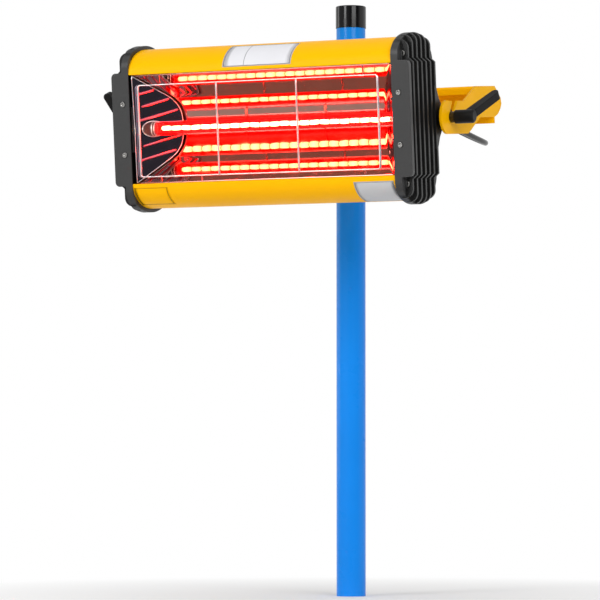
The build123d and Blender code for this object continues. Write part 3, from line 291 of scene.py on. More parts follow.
def filament_glow():
    """The heated coil: nearly white along each bead, and a dull orange at the necks between them."""
    made, nodes, links, shader = material("filament_wire")
    shader.inputs["Base Color"].default_value = (0.1, 0.03, 0.02, 1)
    place = nodes.new("ShaderNodeTexCoord")
    split = nodes.new("ShaderNodeSeparateXYZ")
    shift = nodes.new("ShaderNodeMath")
    shift.operation = "SUBTRACT"
    shift.inputs[1].default_value = FILAMENT_LEFT
    count = nodes.new("ShaderNodeMath")
    count.operation = "DIVIDE"
    count.inputs[1].default_value = (FILAMENT_RIGHT - FILAMENT_LEFT) / BEAD_COUNT
    bead = nodes.new("ShaderNodeMath")
    bead.operation = "FRACT"
    heat = nodes.new("ShaderNodeValToRGB")
    stops = heat.color_ramp.elements
    stops[0].position, stops[0].color = 0.0, (0.05, 0.004, 0.0, 1)
    stops[1].position, stops[1].color = 1.0, (0.05, 0.004, 0.0, 1)
    for position, colour in (
        (0.02, (0.10, 0.02, 0.0, 1)), (0.05, (1.0, 0.80, 0.5, 1)), (0.5, (1.0, 1.0, 0.85, 1)),
        (0.95, (1.0, 0.80, 0.5, 1)), (0.98, (0.10, 0.02, 0.0, 1)),
    ):
        stop = stops.new(position)
        stop.color = colour
    shader.inputs["Emission Strength"].default_value = 85.0
    links.new(place.outputs["Object"], split.inputs[0])
    links.new(split.outputs["X"], shift.inputs[0])
    links.new(shift.outputs[0], count.inputs[0])
    links.new(count.outputs[0], bead.inputs[0])
    links.new(bead.outputs[0], heat.inputs["Fac"])
    links.new(heat.outputs["Color"], shader.inputs["Emission Color"])
    return made


def quartz_with_painted_glow():
    """Clear quartz, tinted red along the coil's length, with a painted red glow there that stands in for
    the coil's light in the glass; both by distance from its middle.
    """
    made, nodes, links, shader = material("quartz")
    place = nodes.new("ShaderNodeTexCoord")
    split = nodes.new("ShaderNodeSeparateXYZ")
    centred = nodes.new("ShaderNodeMath")
    centred.operation = "SUBTRACT"
    centred.inputs[1].default_value = (FILAMENT_LEFT + FILAMENT_RIGHT) / 2
    away = nodes.new("ShaderNodeMath")
    away.operation = "ABSOLUTE"
    hot = nodes.new("ShaderNodeMapRange")
    hot.inputs["From Min"].default_value = (FILAMENT_RIGHT - FILAMENT_LEFT) / 2 + 1.5 * mm
    hot.inputs["From Max"].default_value = (FILAMENT_RIGHT - FILAMENT_LEFT) / 2 + 7.0 * mm
    hot.inputs["To Min"].default_value = 1.0
    hot.inputs["To Max"].default_value = 0.0
    tint = nodes.new("ShaderNodeMix")
    tint.data_type = "RGBA"
    tint.inputs["A"].default_value = (0.95, 0.95, 0.97, 1)
    tint.inputs["B"].default_value = (0.9, 0.24, 0.19, 1)
    # Painted glow: red emission on the glass along the coil's length, standing in for the coil's light
    glow = nodes.new("ShaderNodeMix")
    glow.data_type = "RGBA"
    glow.inputs["A"].default_value = (0, 0, 0, 1)
    glow.inputs["B"].default_value = (1.0, 0.0, 0.0, 1)
    clear = nodes.new("ShaderNodeBsdfTransparent")
    light = nodes.new("ShaderNodeEmission")
    light.inputs["Strength"].default_value = 0.75
    gloss = nodes.new("ShaderNodeBsdfGlossy")
    gloss.inputs["Roughness"].default_value = 0.04
    rim = nodes.new("ShaderNodeLayerWeight")
    rim.inputs["Blend"].default_value = 0.08
    both = nodes.new("ShaderNodeAddShader")
    mix = nodes.new("ShaderNodeMixShader")
    links.new(place.outputs["Object"], split.inputs[0])
    links.new(split.outputs["X"], centred.inputs[0])
    links.new(centred.outputs[0], away.inputs[0])
    links.new(away.outputs[0], hot.inputs["Value"])
    links.new(hot.outputs["Result"], tint.inputs["Factor"])
    links.new(hot.outputs["Result"], glow.inputs["Factor"])
    links.new(tint.outputs["Result"], clear.inputs["Color"])
    links.new(glow.outputs["Result"], light.inputs["Color"])
    links.new(clear.outputs[0], both.inputs[0])
    links.new(light.outputs[0], both.inputs[1])
    links.new(rim.outputs["Facing"], mix.inputs["Fac"])
    links.new(both.outputs[0], mix.inputs[1])
    links.new(gloss.outputs[0], mix.inputs[2])
    links.new(mix.outputs[0], nodes["Material Output"].inputs["Surface"])
    nodes.remove(shader)
    return made


# Where the glowing coil starts and ends along the tube
FILAMENT_LEFT = -122.0 * mm
FILAMENT_RIGHT = 142.0 * mm
BEAD_COUNT = 23
MATERIALS["filament_wire"] = filament_glow()
MATERIALS["quartz"] = quartz_with_painted_glow()


def set_material(piece, made):
    """Gives every face of the piece this material."""
    piece.data.materials.clear()
    piece.data.materials.append(made)


def soften(piece, width, segments=2, angle=32.0):
    """Welds and simplifies a solid's flat triangles, then rounds its sharp edges."""
    weld = piece.modifiers.new("weld", "WELD")
    weld.merge_threshold = 0.000002
    flat = piece.modifiers.new("flat", "DECIMATE")
    flat.decimate_type = "DISSOLVE"
    flat.angle_limit = math.radians(0.4)
    if width:
        edge = piece.modifiers.new("edge", "BEVEL")
        edge.width = width
        edge.segments = segments
        edge.limit_method = "ANGLE"
        edge.angle_limit = math.radians(angle)
        edge.harden_normals = False
    piece.data.polygons.foreach_set("use_smooth", [True] * len(piece.data.polygons))
    normal = piece.modifiers.new("normal", "WEIGHTED_NORMAL")
    normal.keep_sharp = False
    normal.weight = 80


# Every solid gets its finish, and edges as round as such a piece has
EDGE_WIDTHS = {
    "end_cap_left": 0.55, "end_cap_right": 0.55, "yoke": 0.35, "lever_left": 1.3, "lever_right": 1.3,
    "housing_shell": 0.3, "post_collar": 0.6, "clamp_knob": 0.8, "rear_cover": 0.3, "plug_body": 1.2,
    "cap_screws": 0.3, "clamp_liner": 0.3, "gland_body": 0.4, "terminal_block": 0.6,
    "lever_insert_left": 0.2, "lever_insert_right": 0.2, "pivot_washer_left": 0.3,
    "pivot_washer_right": 0.3, "post_tube": 0.3, "post_cap": 0.25, "cord_tie": 0.3,
    "reflector_trough": 0.0, "guard_wire": 0.0, "reflector_end_left": 0.25, "reflector_end_right": 0.25,
    "lamp_base_left": 0.3, "lamp_base_right": 0.3, "yoke_bolts": 0.3, "cover_screws": 0.3,
    "plug_pins": 0.4, "reflector_screws": 0.2, "gland_nut": 0.3, "strain_relief": 0.3,
}
slots = {part["node"]: part["material_slot"] for part in frame["record"]["subparts"]}
for node, piece in frame["nodes"].items():
    set_material(piece, MATERIALS["cap_plastic" if node.startswith("end_cap") else slots[node]])
    soften(piece, EDGE_WIDTHS.get(node, 0.2) * mm)


# Filament: a row of glowing beads, each a rounded bulge of the wound wire, on a thin wire
FILAMENT_DEPTH = 15.5 * mm
BEAD_RADIUS = 2.3 * mm
NECK_RADIUS = 0.7 * mm
BEAD_STEPS = 36
TURNS_IN_A_BEAD = 9
WANDER = 0.35 * mm


def make_filament():
    """Radius along x: the neck, and on it a blunt bulge for each bead, the root of one less the
    sixth power of the offset from the bead's middle, with a small ripple for the wound turns."""
    s = np.linspace(0, 1, BEAD_COUNT * BEAD_STEPS + 1)
    bead = (s * BEAD_COUNT) % 1.0
    bulge = (1 - np.abs(2 * bead - 1) ** 6) ** 0.5
    ripple = 1 + 0.05 * np.cos(2 * math.pi * TURNS_IN_A_BEAD * bead)
    radius = NECK_RADIUS + (BEAD_RADIUS - NECK_RADIUS) * bulge * ripple
    x = FILAMENT_LEFT + s * (FILAMENT_RIGHT - FILAMENT_LEFT)
    wander = WANDER * np.sin(s * 61.0) * np.cos(s * 23.0)
    path = np.stack([x, np.full_like(x, FILAMENT_DEPTH), wander], axis=1)
    piece = tube("filament_beads", on_head(path), radius, 14)
    set_material(piece, MATERIALS["filament_wire"])
    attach(piece, "head")
    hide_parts("filament")


make_filament()

# Reflector: a flank, a wide bend, a nearly flat back, a wide bend and a flank, as depth and
# height, so bent that the tube shows five times
MIRROR_END = 149.5 * mm
MIRROR_SHEET = 1.0 * mm
FLANK_START = np.array([0.7, 56.7]) * mm
FLANK_LENGTH = 31.6 * mm
LOWER_FRONT_DEPTH = 1.8 * mm
# Directions below the depth axis, then the radii of the two bends and the back's length
FLANK_TURN, BACK_TURN_START, BACK_TURN_END, LOWER_TURN = 0.694, 1.454, 1.693, 2.366
UPPER_BEND = 34.0 * mm
BACK_LENGTH = 26.0 * mm
LOWER_BEND = 36.2 * mm
LEFT_SLOPE, RIGHT_SLOPE = 1.12, 0.66
RIGHT_MIRROR_END = 156.0 * mm
CHASSIS_DEPTH = 50.0 * mm
FOOT_X = 60.0 * mm
FOOT_HALF_WIDTH = 7.0 * mm
FOOT_HALF_HEIGHT = 0.5 * mm
FOOT_SEAT = 0.5 * mm
TUBE_HOLE = 7.8 * mm


def mirror_profile():
    """Inside of the trough: a path whose direction turns at an even rate along each piece.

    The direction is the turn below the depth axis, and the points are its summed steps.
    """
    bends = (
        (FLANK_TURN, BACK_TURN_START, UPPER_BEND * (BACK_TURN_START - FLANK_TURN)),
        (BACK_TURN_START, BACK_TURN_END, BACK_LENGTH),
        (BACK_TURN_END, LOWER_TURN, LOWER_BEND * (LOWER_TURN - BACK_TURN_END)),
    )
    turns, steps = [np.full(30, FLANK_TURN)], [np.full(30, FLANK_LENGTH / 30)]
    for start, end, length in bends:
        turns.append(start + (end - start) * (np.arange(40) + 0.5) / 40)
        steps.append(np.full(40, length / 40))
    turn, step = np.concatenate(turns), np.concatenate(steps)
    moves = step[:, None] * np.stack([np.cos(turn), -np.sin(turn)], axis=1)
    points = np.vstack([FLANK_START, FLANK_START + np.cumsum(moves, axis=0)])
    last = (LOWER_FRONT_DEPTH - points[-1, 0]) / math.cos(LOWER_TURN)
    rest = np.linspace(0, last, 31)[1:, None] * np.array([math.cos(LOWER_TURN), -math.sin(LOWER_TURN)])
    return np.vstack([points, points[-1] + rest])


def mirror_end_x(depth, side):
    """Where the slanted end plate stands at a depth: a straight line, steeper at the left end."""
    if side > 0:
        return RIGHT_MIRROR_END - RIGHT_SLOPE * depth
    return LEFT_SLOPE * depth - MIRROR_END


def finish_on_head(piece, slot):
    """Finishes a piece of the head and lets it ride on it."""
    fix_outwards(piece)
    set_material(piece, MATERIALS[slot])
    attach(piece, "head")


def make_reflector():
    """Profile of depth and height carried along x between the slanted ends, with a second wall
    one sheet behind it, along the profile's normals, and two feet on the chassis."""
    inner = mirror_profile()
    step = np.gradient(inner, axis=0)
    step /= np.linalg.norm(step, axis=1, keepdims=True)
    outer = inner + MIRROR_SHEET * np.stack([-step[:, 1], step[:, 0]], axis=1)
    outer[:, 0] = np.maximum(outer[:, 0], inner[:, 0].min())
    loop = np.vstack([inner, outer[::-1]])
    columns = 40
    share = np.linspace(0, 1, columns)
    left, right = mirror_end_x(loop[:, 0], -1), mirror_end_x(loop[:, 0], 1)
    x = left[:, None] + (right - left)[:, None] * share
    points = np.stack(np.broadcast_arrays(x, loop[:, :1], loop[:, 1:]), axis=2)
    faces = [tuple(face) for face in grid_faces(len(loop), columns, True, False)]
    first = np.arange(len(inner) - 1)
    behind = len(loop) - 1 - first
    for column in (0, columns - 1):
        ends = np.stack([first, first + 1, behind - 1, behind], axis=1) * columns + column
        faces += [tuple(face) for face in ends]
    points = points.reshape(-1, 3)
    back = inner[:, 0].max() + FOOT_SEAT
    for side in (-1, 1):
        corners = np.array([
            (side * FOOT_X + a * FOOT_HALF_WIDTH, depth, z * FOOT_HALF_HEIGHT)
            for a in (-1, 1) for depth in (back, CHASSIS_DEPTH) for z in (-1, 1)
        ])
        start = len(points)
        points = np.vstack([points, corners])
        faces += [
            tuple(start + np.array(face)) for face in
            ((0, 1, 3, 2), (4, 6, 7, 5), (0, 4, 5, 1), (2, 3, 7, 6), (0, 2, 6, 4), (1, 5, 7, 3))
        ]
    piece = mesh_object("reflector_sheet", on_head(points), faces)
    finish_on_head(piece, "mirror_sheet")
    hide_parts("reflector_trough")


def make_end_plates():
    """Each plate: from the tube's hole straight out to the trough's profile, on the slanted plane,
    and back again one sheet behind it. Its rims are marked sharp."""
    outline = mirror_profile()
    front = np.linspace(0, 1, 40)[1:-1, None]
    outline = np.vstack([outline, outline[-1] + (outline[0] - outline[-1]) * front])
    middle = np.array([FILAMENT_DEPTH, 0.0])
    away = outline - middle
    bearing = away / np.linalg.norm(away, axis=1, keepdims=True)
    share = np.linspace(0, 1, 14)[None, :, None]
    rings = (middle + TUBE_HOLE * bearing)[:, None] * (1 - share) + outline[:, None] * share
    for side, name in ((-1, "left"), (1, "right")):
        slope = RIGHT_SLOPE if side > 0 else LEFT_SLOPE
        x = mirror_end_x(rings[..., 0], side)
        face = np.stack([x, rings[..., 0], rings[..., 1]], axis=2)
        normal = np.array([side, slope, 0]) / math.hypot(1, slope)
        both = np.concatenate([face, (face + normal * MIRROR_SHEET)[:, ::-1]], axis=1)
        faces = [tuple(quad) for quad in grid_faces(both.shape[0], both.shape[1], True, True)]
        piece = mesh_object(f"end_plate_{name}", on_head(both.reshape(-1, 3)), faces)
        finish_on_head(piece, "mirror_plate")
        columns = both.shape[1]
        ends = np.zeros(2 * len(piece.data.edges), np.int32)
        piece.data.edges.foreach_get("vertices", ends)
        first, last = ends.reshape(-1, 2).T
        rim = np.isin(first % columns, (0, columns // 2 - 1, columns // 2, columns - 1))
        piece.data.edges.foreach_set("use_edge_sharp", rim & (first // columns != last // columns))
        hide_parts(f"reflector_end_{name}")


# Thin rolled beads on the end plates, as how far in or out they lie and their radii
EDGE_INSET = 0.5 * mm
EDGE_LIFT = 0.3 * mm
EDGE_BEAD = 0.42 * mm
RIM_OUTSET = 0.45 * mm
RIM_BEAD = 0.5 * mm
# Bright rings drawn where the quartz shows curved highlights, as painted highlights: their radius, wire
# and places along x
HIGHLIGHT_RING_RADIUS = 7.8 * mm
HIGHLIGHT_RING_WIRE = 0.4 * mm
HIGHLIGHT_RING_PLACES = (-131.0 * mm, -128.0 * mm)


def make_plate_edge():
    """The left plate's bright folded edge: a thin bead that follows the trough's profile on the
    slanted plane and the plate's front, moved towards its middle by the inset."""
    outline = mirror_profile()
    front = np.linspace(0, 1, 30)[1:-1, None]
    outline = np.vstack([outline, outline[-1] + (outline[0] - outline[-1]) * front])
    middle = outline.mean(axis=0)
    inwards = (middle - outline) / np.linalg.norm(middle - outline, axis=1, keepdims=True)
    outline = outline + inwards * EDGE_INSET
    x = mirror_end_x(outline[:, 0], -1) + EDGE_LIFT
    place = np.stack([x, outline[:, 0], outline[:, 1]], axis=1)
    piece = tube("end_plate_edge", on_head(place), EDGE_BEAD, 8, True)
    finish_on_head(piece, "guard_steel")


def make_hole_rims():
    """A thin rolled rim round the tube on each slanted plate: a circle in depth and height that
    lies on the plate, so its x follows the plate's slope."""
    turn = np.linspace(0, 2 * math.pi, 48, endpoint=False)
    for side, name in ((-1, "left"), (1, "right")):
        depth = FILAMENT_DEPTH + (TUBE_HOLE + RIM_OUTSET) * np.cos(turn)
        height = (TUBE_HOLE + RIM_OUTSET) * np.sin(turn)
        x = mirror_end_x(depth, side) - side * EDGE_LIFT
        place = np.stack([x, depth, height], axis=1)
        piece = tube(f"hole_rim_{name}", on_head(place), RIM_BEAD, 10, True)
        finish_on_head(piece, "guard_steel")


def make_highlight_rings():
    """Two bright wire rings round the tube where it comes out of the left plate, standing in for the
    quartz's curved highlights there as painted highlights: plain circles.
    """
    turn = np.linspace(0, 2 * math.pi, 48, endpoint=False)
    for number, x in enumerate(HIGHLIGHT_RING_PLACES):
        depth = FILAMENT_DEPTH + HIGHLIGHT_RING_RADIUS * np.cos(turn)
        path = np.stack([np.full_like(turn, x), depth, HIGHLIGHT_RING_RADIUS * np.sin(turn)], axis=1)
        piece = tube(f"highlight_ring_{number}", on_head(path), HIGHLIGHT_RING_WIRE, 8, True)
        finish_on_head(piece, "guard_steel")


# Ribs on the left end plate: their sizes, how each rises a little along the plate, and how far
# they keep from its front, its screws, the trough and the tube's hole
RIB_PITCH = 14.0 * mm
RIB_WIDTH = 1.35 * mm
RIB_HEIGHT = 1.2 * mm
RIB_RISE = 0.25
RIB_COUNT = 6
RIB_FRONT = 2.5 * mm
RIB_FRONT_LEAD = 1.6 * mm
RIB_PAST_SCREW = 10.8 * mm
RIB_REACH = 38.0 * mm
RIB_GAP = 1.8 * mm
RIB_HOLE_GAP = 2.6 * mm
RIB_SHORTEST = 3.0 * mm
SCREW_HEIGHT = 21.0 * mm


def make_ribs():
    """Half round ribs: across, height = crown times the root of one less the squared offset, and
    the crown runs out at both ends as the root of the distance from them."""
    profile = mirror_profile()
    along = math.hypot(1, LEFT_SLOPE)
    points, faces = [], []
    for number in range(RIB_COUNT):
        z = (number - (RIB_COUNT - 1) / 2) * RIB_PITCH
        start = RIB_FRONT * along + RIB_FRONT_LEAD
        if abs(abs(z) - SCREW_HEIGHT) < RIB_PITCH / 2:
            start = RIB_PAST_SCREW
        reach = np.linspace(start, RIB_REACH * along, 300)
        limit = np.interp(-(z + RIB_RISE * reach), -profile[:, 1], profile[:, 0])
        apart = (
            np.hypot(reach / along - FILAMENT_DEPTH, z + RIB_RISE * reach) < TUBE_HOLE + RIB_HOLE_GAP
        )
        stop = (reach / along > limit - RIB_GAP) | apart
        pieces = [(start, reach[np.argmax(stop)])]
        if apart.any():
            after = reach[len(apart) - 1 - np.argmax(apart[::-1])]
            end = reach[np.argmax((reach / along > limit - RIB_GAP) & (reach > after))]
            pieces.append((after, end))
        for begin, end in pieces:
            if end - begin < RIB_SHORTEST:
                continue
            share = np.linspace(0, 1, 40)
            u = begin + (end - begin) * share
            fade = np.minimum(1, np.minimum(share, 1 - share) * (end - begin) / RIB_WIDTH) ** 0.5
            turn = np.linspace(0, math.pi, 11)
            crown = RIB_HEIGHT * np.sin(turn)[None, :] * fade[:, None]
            depth = u[:, None] / along - crown * LEFT_SLOPE / along
            x = mirror_end_x(u[:, None] / along, -1) + crown / along
            height = z + RIB_RISE * u[:, None] + RIB_WIDTH * np.cos(turn)[None, :] * fade[:, None]
            start_at = sum(len(part) for part in points)
            points.append(np.stack([x, depth, height], axis=2).reshape(-1, 3))
            faces += [tuple(start_at + face) for face in grid_faces(40, 11, False, True)]
    piece = mesh_object("end_ribs", on_head(np.vstack(points)), faces)
    finish_on_head(piece, "red_glint_rib")


# Guard: half sizes of its loop, how far it stands off the middle, its cross wires and legs, and
# the radii of its upright and long wires
GUARD_HALF = np.array([138.5, 48.4]) * mm
GUARD_SHIFT = np.array([-3.6, -2.1]) * mm
GUARD_DEPTH = 2.0 * mm
GUARD_CORNER = 3.0 * mm
GUARD_CROSS = 46.17 * mm
GUARD_LEG = 118.0 * mm
UPRIGHT_WIRE = 1.25 * mm
LONG_WIRE = 0.55 * mm
CROSS_WIRE = 0.95 * mm
LEG_WIRE = 0.9 * mm


def make_guard():
    """A rounded rectangle of wire, thicker on its upright sides, with two upright cross wires and
    four legs back to the flanks. Corners are quarter circles."""
    corners, radii = [], []
    for number, (sx, sz) in enumerate(((1, 1), (-1, 1), (-1, -1), (1, -1))):
        middle = np.array([sx, sz]) * (GUARD_HALF - GUARD_CORNER) + GUARD_SHIFT
        turn = (number + np.linspace(0, 1, 9)) * math.pi / 2
        corners.append(middle + GUARD_CORNER * np.stack([np.cos(turn), np.sin(turn)], axis=1))
        thinning = np.linspace(UPRIGHT_WIRE, LONG_WIRE, 9)
        radii.append(thinning if number % 2 == 0 else thinning[::-1])
    path, size = [], []
    for number in range(4):
        path.append(corners[number])
        size.append(radii[number])
        after = corners[(number + 1) % 4][0]
        share = np.linspace(0, 1, 22)[1:-1, None]
        path.append(corners[number][-1] * (1 - share) + after * share)
        size.append(np.full(20, radii[number][-1]))
    path, size = np.vstack(path), np.concatenate(size)
    wires = [("guard_loop", path, size, np.full(len(path), GUARD_DEPTH), True)]
    high, low = GUARD_SHIFT[1] + GUARD_HALF[1], GUARD_SHIFT[1] - GUARD_HALF[1]
    profile = mirror_profile()
    for side, name in ((-1, "left"), (1, "right")):
        x = GUARD_SHIFT[0] + side * GUARD_CROSS
        line = np.stack([np.full(20, x), np.linspace(low, high, 20)], axis=1)
        wires.append((f"guard_cross_{name}", line, CROSS_WIRE, np.full(20, GUARD_DEPTH), False))
        for height, level in ((high, "upper"), (low, "lower")):
            x = GUARD_SHIFT[0] + side * GUARD_LEG
            flank = np.interp(-height, -profile[:, 1], profile[:, 0])
            line = np.tile([[x, height]], (8, 1))
            depths = np.linspace(GUARD_DEPTH, flank, 8)
            wires.append((f"guard_leg_{level}_{name}", line, LEG_WIRE, depths, False))
    for number, (name, line, radius, depth, closed) in enumerate(wires):
        place = np.stack([line[:, 0], depth, line[:, 1]], axis=1)
        piece = tube(name, on_head(place), radius, 14, closed)
        finish_on_head(piece, "guard_steel")
        if number == 0:
            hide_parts("guard_wire")


# Bare plates on the housing's bands: finish, line, ends along x in millimetres, turns round the
# band, side, and where a divider stands
BAND_DEPTH = 43.5 * mm
BAND_RISE = 27.25 * mm
BAND_START = 57.75 * mm
LINE_INSET = 1.2
LINE_WIDTH = 0.55
TURN_PER_MM = 1.0 / 38
PLATE_THICKNESS = 0.12 * mm
LINE_THICKNESS = 0.18 * mm
BARE_PLATES = {
    "plate_white": ("plate_white", "plate_line", -41.0, 38.0, 0.13, 1.20, 1, 0.30),
    "plate_yellow": ("yellow_paint", "plate_brown", -150.5, -110.5, 0.14, 0.98, -1, None),
    "plate_silver": ("plate_silver", "plate_line", 104.0, 149.0, 0.20, 1.36, -1, None),
}


def band_patch(x, turn, side, lift):
    """Points on the housing's band: an ellipse of depth and height about its middle, lifted."""
    depth = BAND_DEPTH - (BAND_DEPTH + lift) * np.cos(turn)
    height = side * (BAND_START + (BAND_RISE + lift) * np.sin(turn))
    return np.stack(np.broadcast_arrays(x, depth, height), axis=-1)


def make_plate(name, slot, start, end, low, high, side, lift):
    """A thin sheet on the band between two ends along x and two turns, closed underneath."""
    x = np.linspace(start, end, 12)[:, None] * mm
    turn = np.linspace(low, high, 24)[None, :]
    top = band_patch(x, turn, side, lift)
    under = band_patch(x, turn, side, 0.0)[:, ::-1]
    points = np.concatenate([top, under], axis=1)
    rows, columns = points.shape[:2]
    faces = [tuple(face) for face in grid_faces(rows, columns, False, True)]
    half = np.arange(columns // 2 - 1)
    for row in (0, rows - 1):
        ends = np.stack([half, half + 1, columns - 2 - half, columns - 1 - half], axis=1) + row * columns
        faces += [tuple(face) for face in ends]
    piece = mesh_object(name, on_head(points.reshape(-1, 3)), faces)
    finish_on_head(piece, slot)


def make_plates():
    """Each bare plate with a thin raised line round it, and a divider on the white one."""
    for name, (slot, line, start, end, low, high, side, divide) in BARE_PLATES.items():
        make_plate(name, slot, start, end, low, high, side, PLATE_THICKNESS)
        left, right = start + LINE_INSET, end - LINE_INSET
        bottom, top = low + LINE_INSET * TURN_PER_MM, high - LINE_INSET * TURN_PER_MM
        height = LINE_WIDTH * TURN_PER_MM
        bars = [
            (left, left + LINE_WIDTH, bottom, top), (right - LINE_WIDTH, right, bottom, top),
            (left, right, bottom, bottom + height), (left, right, top - height, top),
        ]
        if divide:
            place = left + (right - left) * divide
            bars.append((place, place + LINE_WIDTH, bottom, top))
        for number, (x0, x1, t0, t1) in enumerate(bars):
            make_plate(f"{name}_line_{number}", line, x0, x1, t0, t1, side, LINE_THICKNESS)


make_reflector()
make_end_plates()
make_plate_edge()
make_hole_rims()
make_highlight_rings()
make_ribs()
make_guard()
make_plates()

# The mains cord's route, the same points as its solid's, and the coil behind the collar
CORD_RADIUS = 3.0 * mm
CORD_POINTS = np.array([
    (143, -107.8, 501.92), (143, -72, 505.24), (146, -36, 501.7), (150, -6, 496.3),
    (151, 22, 492.9), (142, 41, 494.6), (125, 51, 501), (103, 51, 511.5),
    (82, 47, 526), (62, 40, 543), (42, 32, 557), (24, 28.5, 564.52), (6, 28.5, 564.52),
]) * mm
COIL_MIDDLE = 521.77 * mm
COIL_RADII = np.array([42.75, 39.5, 36.25, 33, 29.75, 26.5, 22.25]) * mm
COIL_FRONT = 28.5 * mm
COIL_REAR = 35.0 * mm
HALF_TURN_POINTS = 12
TAIL_LENGTH = 20.0 * mm


def coil_points():
    """Half turns between knots above and below the middle: x = -r sin t, z = middle + r cos t.

    The knots draw in along the front layer, climb a layer in one half turn and draw out again.
    """
    radii = np.concatenate([COIL_RADII, COIL_RADII[::-1]])
    depth = np.repeat([COIL_FRONT, COIL_REAR], len(COIL_RADII))
    points = []
    for number in range(len(radii) - 1):
        last = number == len(radii) - 2
        count = HALF_TURN_POINTS // 2 + 1 if last else HALF_TURN_POINTS
        turn = np.arange(count) * math.pi / HALF_TURN_POINTS
        side = 1 if number % 2 == 0 else -1
        r = (radii[number] + radii[number + 1]) / 2
        middle = COIL_MIDDLE + side * (radii[number] - radii[number + 1]) / 2
        share = turn / math.pi
        share = share * share * (3 - 2 * share)
        y = depth[number] + (depth[number + 1] - depth[number]) * share
        points.append(np.stack([-side * r * np.sin(turn), y, middle + side * r * np.cos(turn)], axis=1))
    points = np.concatenate(points)
    end = points[-1] - [0, 0, TAIL_LENGTH]
    return np.vstack([points, (points[-1] * 2 + end) / 3, end])


def smooth_line(points):
    """The points read along a smooth spline that has these control points."""
    data = bpy.data.curves.new("line", "CURVE")
    data.dimensions = "3D"
    data.resolution_u = 5
    spline = data.splines.new("NURBS")
    spline.points.add(len(points) - 1)
    spline.points.foreach_set("co", np.hstack([points, np.ones((len(points), 1))]).ravel())
    spline.order_u = 3
    spline.use_endpoint_u = True
    holder = bpy.data.objects.new("line", data)
    read = bpy.data.meshes.new_from_object(holder)
    line = np.array([vertex.co for vertex in read.vertices])
    bpy.data.objects.remove(holder)
    bpy.data.curves.remove(data)
    bpy.data.meshes.remove(read)
    return line


def make_cord():
    """The whole free cord as one tube along its spline, from the strain relief to the plug."""
    line = smooth_line(np.vstack([CORD_POINTS, coil_points()]))
    piece = tube("mains_cord_tube", line, CORD_RADIUS, 18)
    set_material(piece, MATERIALS["cord_rubber"])
    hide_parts("mains_cord", "cord_coil", "cord_tail")
    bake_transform(piece)


make_cord()


# Floor, backdrop, lights and camera
FLOOR_HALF = 30.0
AIM = (0, -0.1, 0.5)


def dim_room(nodes, links, source):
    """What gloss sees along a direction: the white backdrop behind the lamp, up to a dark ceiling,
    and on the lamp's lit side a dim room, paler on the left than on the right."""
    split = nodes.new("ShaderNodeSeparateXYZ")
    links.new(source, split.inputs[0])
    ramps = {}
    for name, axis, low, high, first, last in (
        ("behind", "Y", -0.2, 0.2, 0.0, 1.0), ("ceiling", "Z", 0.45, 0.8, 1.0, 0.1),
        ("left", "X", -0.3, 0.5, 0.5, 0.05),
    ):
        ramps[name] = nodes.new("ShaderNodeMapRange")
        ramps[name].inputs["From Min"].default_value = low
        ramps[name].inputs["From Max"].default_value = high
        ramps[name].inputs["To Min"].default_value = first
        ramps[name].inputs["To Max"].default_value = last
        links.new(split.outputs[axis], ramps[name].inputs["Value"])
    wall = nodes.new("ShaderNodeMath")
    wall.operation = "MULTIPLY"
    links.new(ramps["behind"].outputs["Result"], wall.inputs[0])
    links.new(ramps["ceiling"].outputs["Result"], wall.inputs[1])
    room = nodes.new("ShaderNodeMath")
    room.operation = "MAXIMUM"
    links.new(wall.outputs[0], room.inputs[0])
    links.new(ramps["left"].outputs["Result"], room.inputs[1])
    return room.outputs[0]


def make_floor():
    """A wide pale floor: it keeps the shadow near the post and is plain white further out to the
    camera and in glass; gloss sees it there as the room that stands on it."""
    corners = np.array([(-1, -1, 0), (1, -1, 0), (1, 1, 0), (-1, 1, 0)]) * FLOOR_HALF
    piece = mesh_object("floor", corners, [(0, 1, 2, 3)])
    made, nodes, links, shader = material("floor")
    shader.inputs["Base Color"].default_value = (0.92, 0.92, 0.92, 1)
    shader.inputs["Roughness"].default_value = 0.8
    place = nodes.new("ShaderNodeTexCoord")
    reach = nodes.new("ShaderNodeVectorMath")
    reach.operation = "LENGTH"
    bearing = nodes.new("ShaderNodeVectorMath")
    bearing.operation = "NORMALIZE"
    far = nodes.new("ShaderNodeMapRange")
    far.inputs["From Min"].default_value = 0.1
    far.inputs["From Max"].default_value = 0.6
    seen = nodes.new("ShaderNodeLightPath")
    glass = nodes.new("ShaderNodeMath")
    glass.operation = "MAXIMUM"
    either = nodes.new("ShaderNodeMath")
    either.operation = "MAXIMUM"
    both = nodes.new("ShaderNodeMath")
    both.operation = "MULTIPLY"
    tone = nodes.new("ShaderNodeMix")
    tone.inputs["A"].default_value = 1.0
    white = nodes.new("ShaderNodeEmission")
    mix = nodes.new("ShaderNodeMixShader")
    links.new(place.outputs["Object"], reach.inputs[0])
    links.new(place.outputs["Object"], bearing.inputs[0])
    links.new(reach.outputs["Value"], far.inputs["Value"])
    links.new(seen.outputs["Is Transmission Ray"], glass.inputs[0])
    links.new(seen.outputs["Is Camera Ray"], glass.inputs[1])
    links.new(glass.outputs[0], either.inputs[0])
    links.new(seen.outputs["Is Glossy Ray"], either.inputs[1])
    links.new(far.outputs["Result"], both.inputs[0])
    links.new(either.outputs[0], both.inputs[1])
    links.new(seen.outputs["Is Glossy Ray"], tone.inputs["Factor"])
    links.new(dim_room(nodes, links, bearing.outputs["Vector"]), tone.inputs["B"])
    links.new(tone.outputs["Result"], white.inputs["Strength"])
    links.new(both.outputs[0], mix.inputs["Fac"])
    links.new(shader.outputs[0], mix.inputs[1])
    links.new(white.outputs[0], mix.inputs[2])
    links.new(mix.outputs[0], nodes["Material Output"].inputs["Surface"])
    set_material(piece, made)


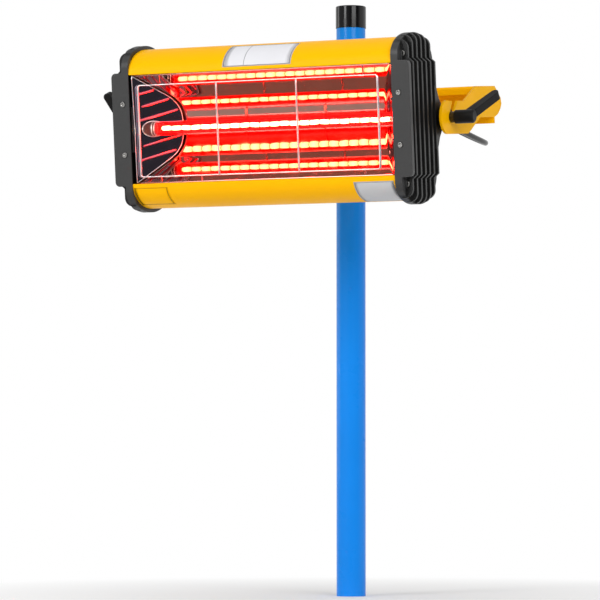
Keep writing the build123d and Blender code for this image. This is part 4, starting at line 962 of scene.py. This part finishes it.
def make_world():
    """White to the camera and in glass, the room in gloss, and an even grey as diffuse light."""
    world = bpy.data.worlds.new("studio")
    bpy.context.scene.world = world
    world.use_nodes = True
    nodes, links = world.node_tree.nodes, world.node_tree.links
    back = nodes["Background"]
    back.inputs["Color"].default_value = (1, 1, 1, 1)
    seen = nodes.new("ShaderNodeLightPath")
    place = nodes.new("ShaderNodeTexCoord")
    gloss = nodes.new("ShaderNodeMix")
    gloss.inputs["A"].default_value = 0.42
    white = nodes.new("ShaderNodeMath")
    white.operation = "MAXIMUM"
    mix = nodes.new("ShaderNodeMix")
    mix.inputs["B"].default_value = 1.0
    links.new(seen.outputs["Is Glossy Ray"], gloss.inputs["Factor"])
    links.new(dim_room(nodes, links, place.outputs["Generated"]), gloss.inputs["B"])
    links.new(seen.outputs["Is Camera Ray"], white.inputs[0])
    links.new(seen.outputs["Is Transmission Ray"], white.inputs[1])
    links.new(white.outputs[0], mix.inputs["Factor"])
    links.new(gloss.outputs["Result"], mix.inputs["A"])
    links.new(mix.outputs["Result"], back.inputs["Strength"])


def softbox(name, place, target, size, power):
    """A square area lamp that looks at the target."""
    data = bpy.data.lights.new(name, "AREA")
    data.shape = "RECTANGLE"
    data.size, data.size_y = size
    data.energy = power
    lamp = bpy.data.objects.new(name, data)
    bpy.context.scene.collection.objects.link(lamp)
    lamp.location = place
    toward = np.array(target) - np.array(place)
    lamp.rotation_euler = Vector(toward).to_track_quat("-Z", "Y").to_euler()


# Camera: its bearing, place, focal length in pixels and the row of the horizon
AZIMUTH = math.radians(25.0)
CAMERA_PLACE = np.array([1651.8, -3674.7, 162.8]) * mm
FOCAL_PIXELS = 3676.0
HORIZON_PIXEL = 447.0
FRAME_PIXELS = 600.0


def make_camera():
    """The photograph's view: 25 degrees round to the right, low and looking slightly up."""
    data = bpy.data.cameras.new("camera")
    data.sensor_width = 36.0
    data.lens = FOCAL_PIXELS / FRAME_PIXELS * data.sensor_width
    data.clip_end = 100.0
    camera = bpy.data.objects.new("camera", data)
    bpy.context.scene.collection.objects.link(camera)
    camera.location = CAMERA_PLACE
    pitch = math.atan((HORIZON_PIXEL - FRAME_PIXELS / 2) / FOCAL_PIXELS)
    camera.rotation_euler = (math.pi / 2 + pitch, 0, AZIMUTH)
    bpy.context.scene.camera = camera


make_floor()
make_world()
softbox("key", (-1.0, -2.8, 1.7), AIM, (0.9, 1.6), 36)
softbox("fill", (2.0, -1.9, 1.6), AIM, (1.6, 1.6), 36)
softbox("top", (0.2, 0.2, 2.4), AIM, (1.6, 1.2), 6)
softbox("side", (-2.6, -0.3, 0.9), AIM, (0.4, 1.6), 7)
make_camera()

bpy.context.scene.view_settings.view_transform = "Standard"
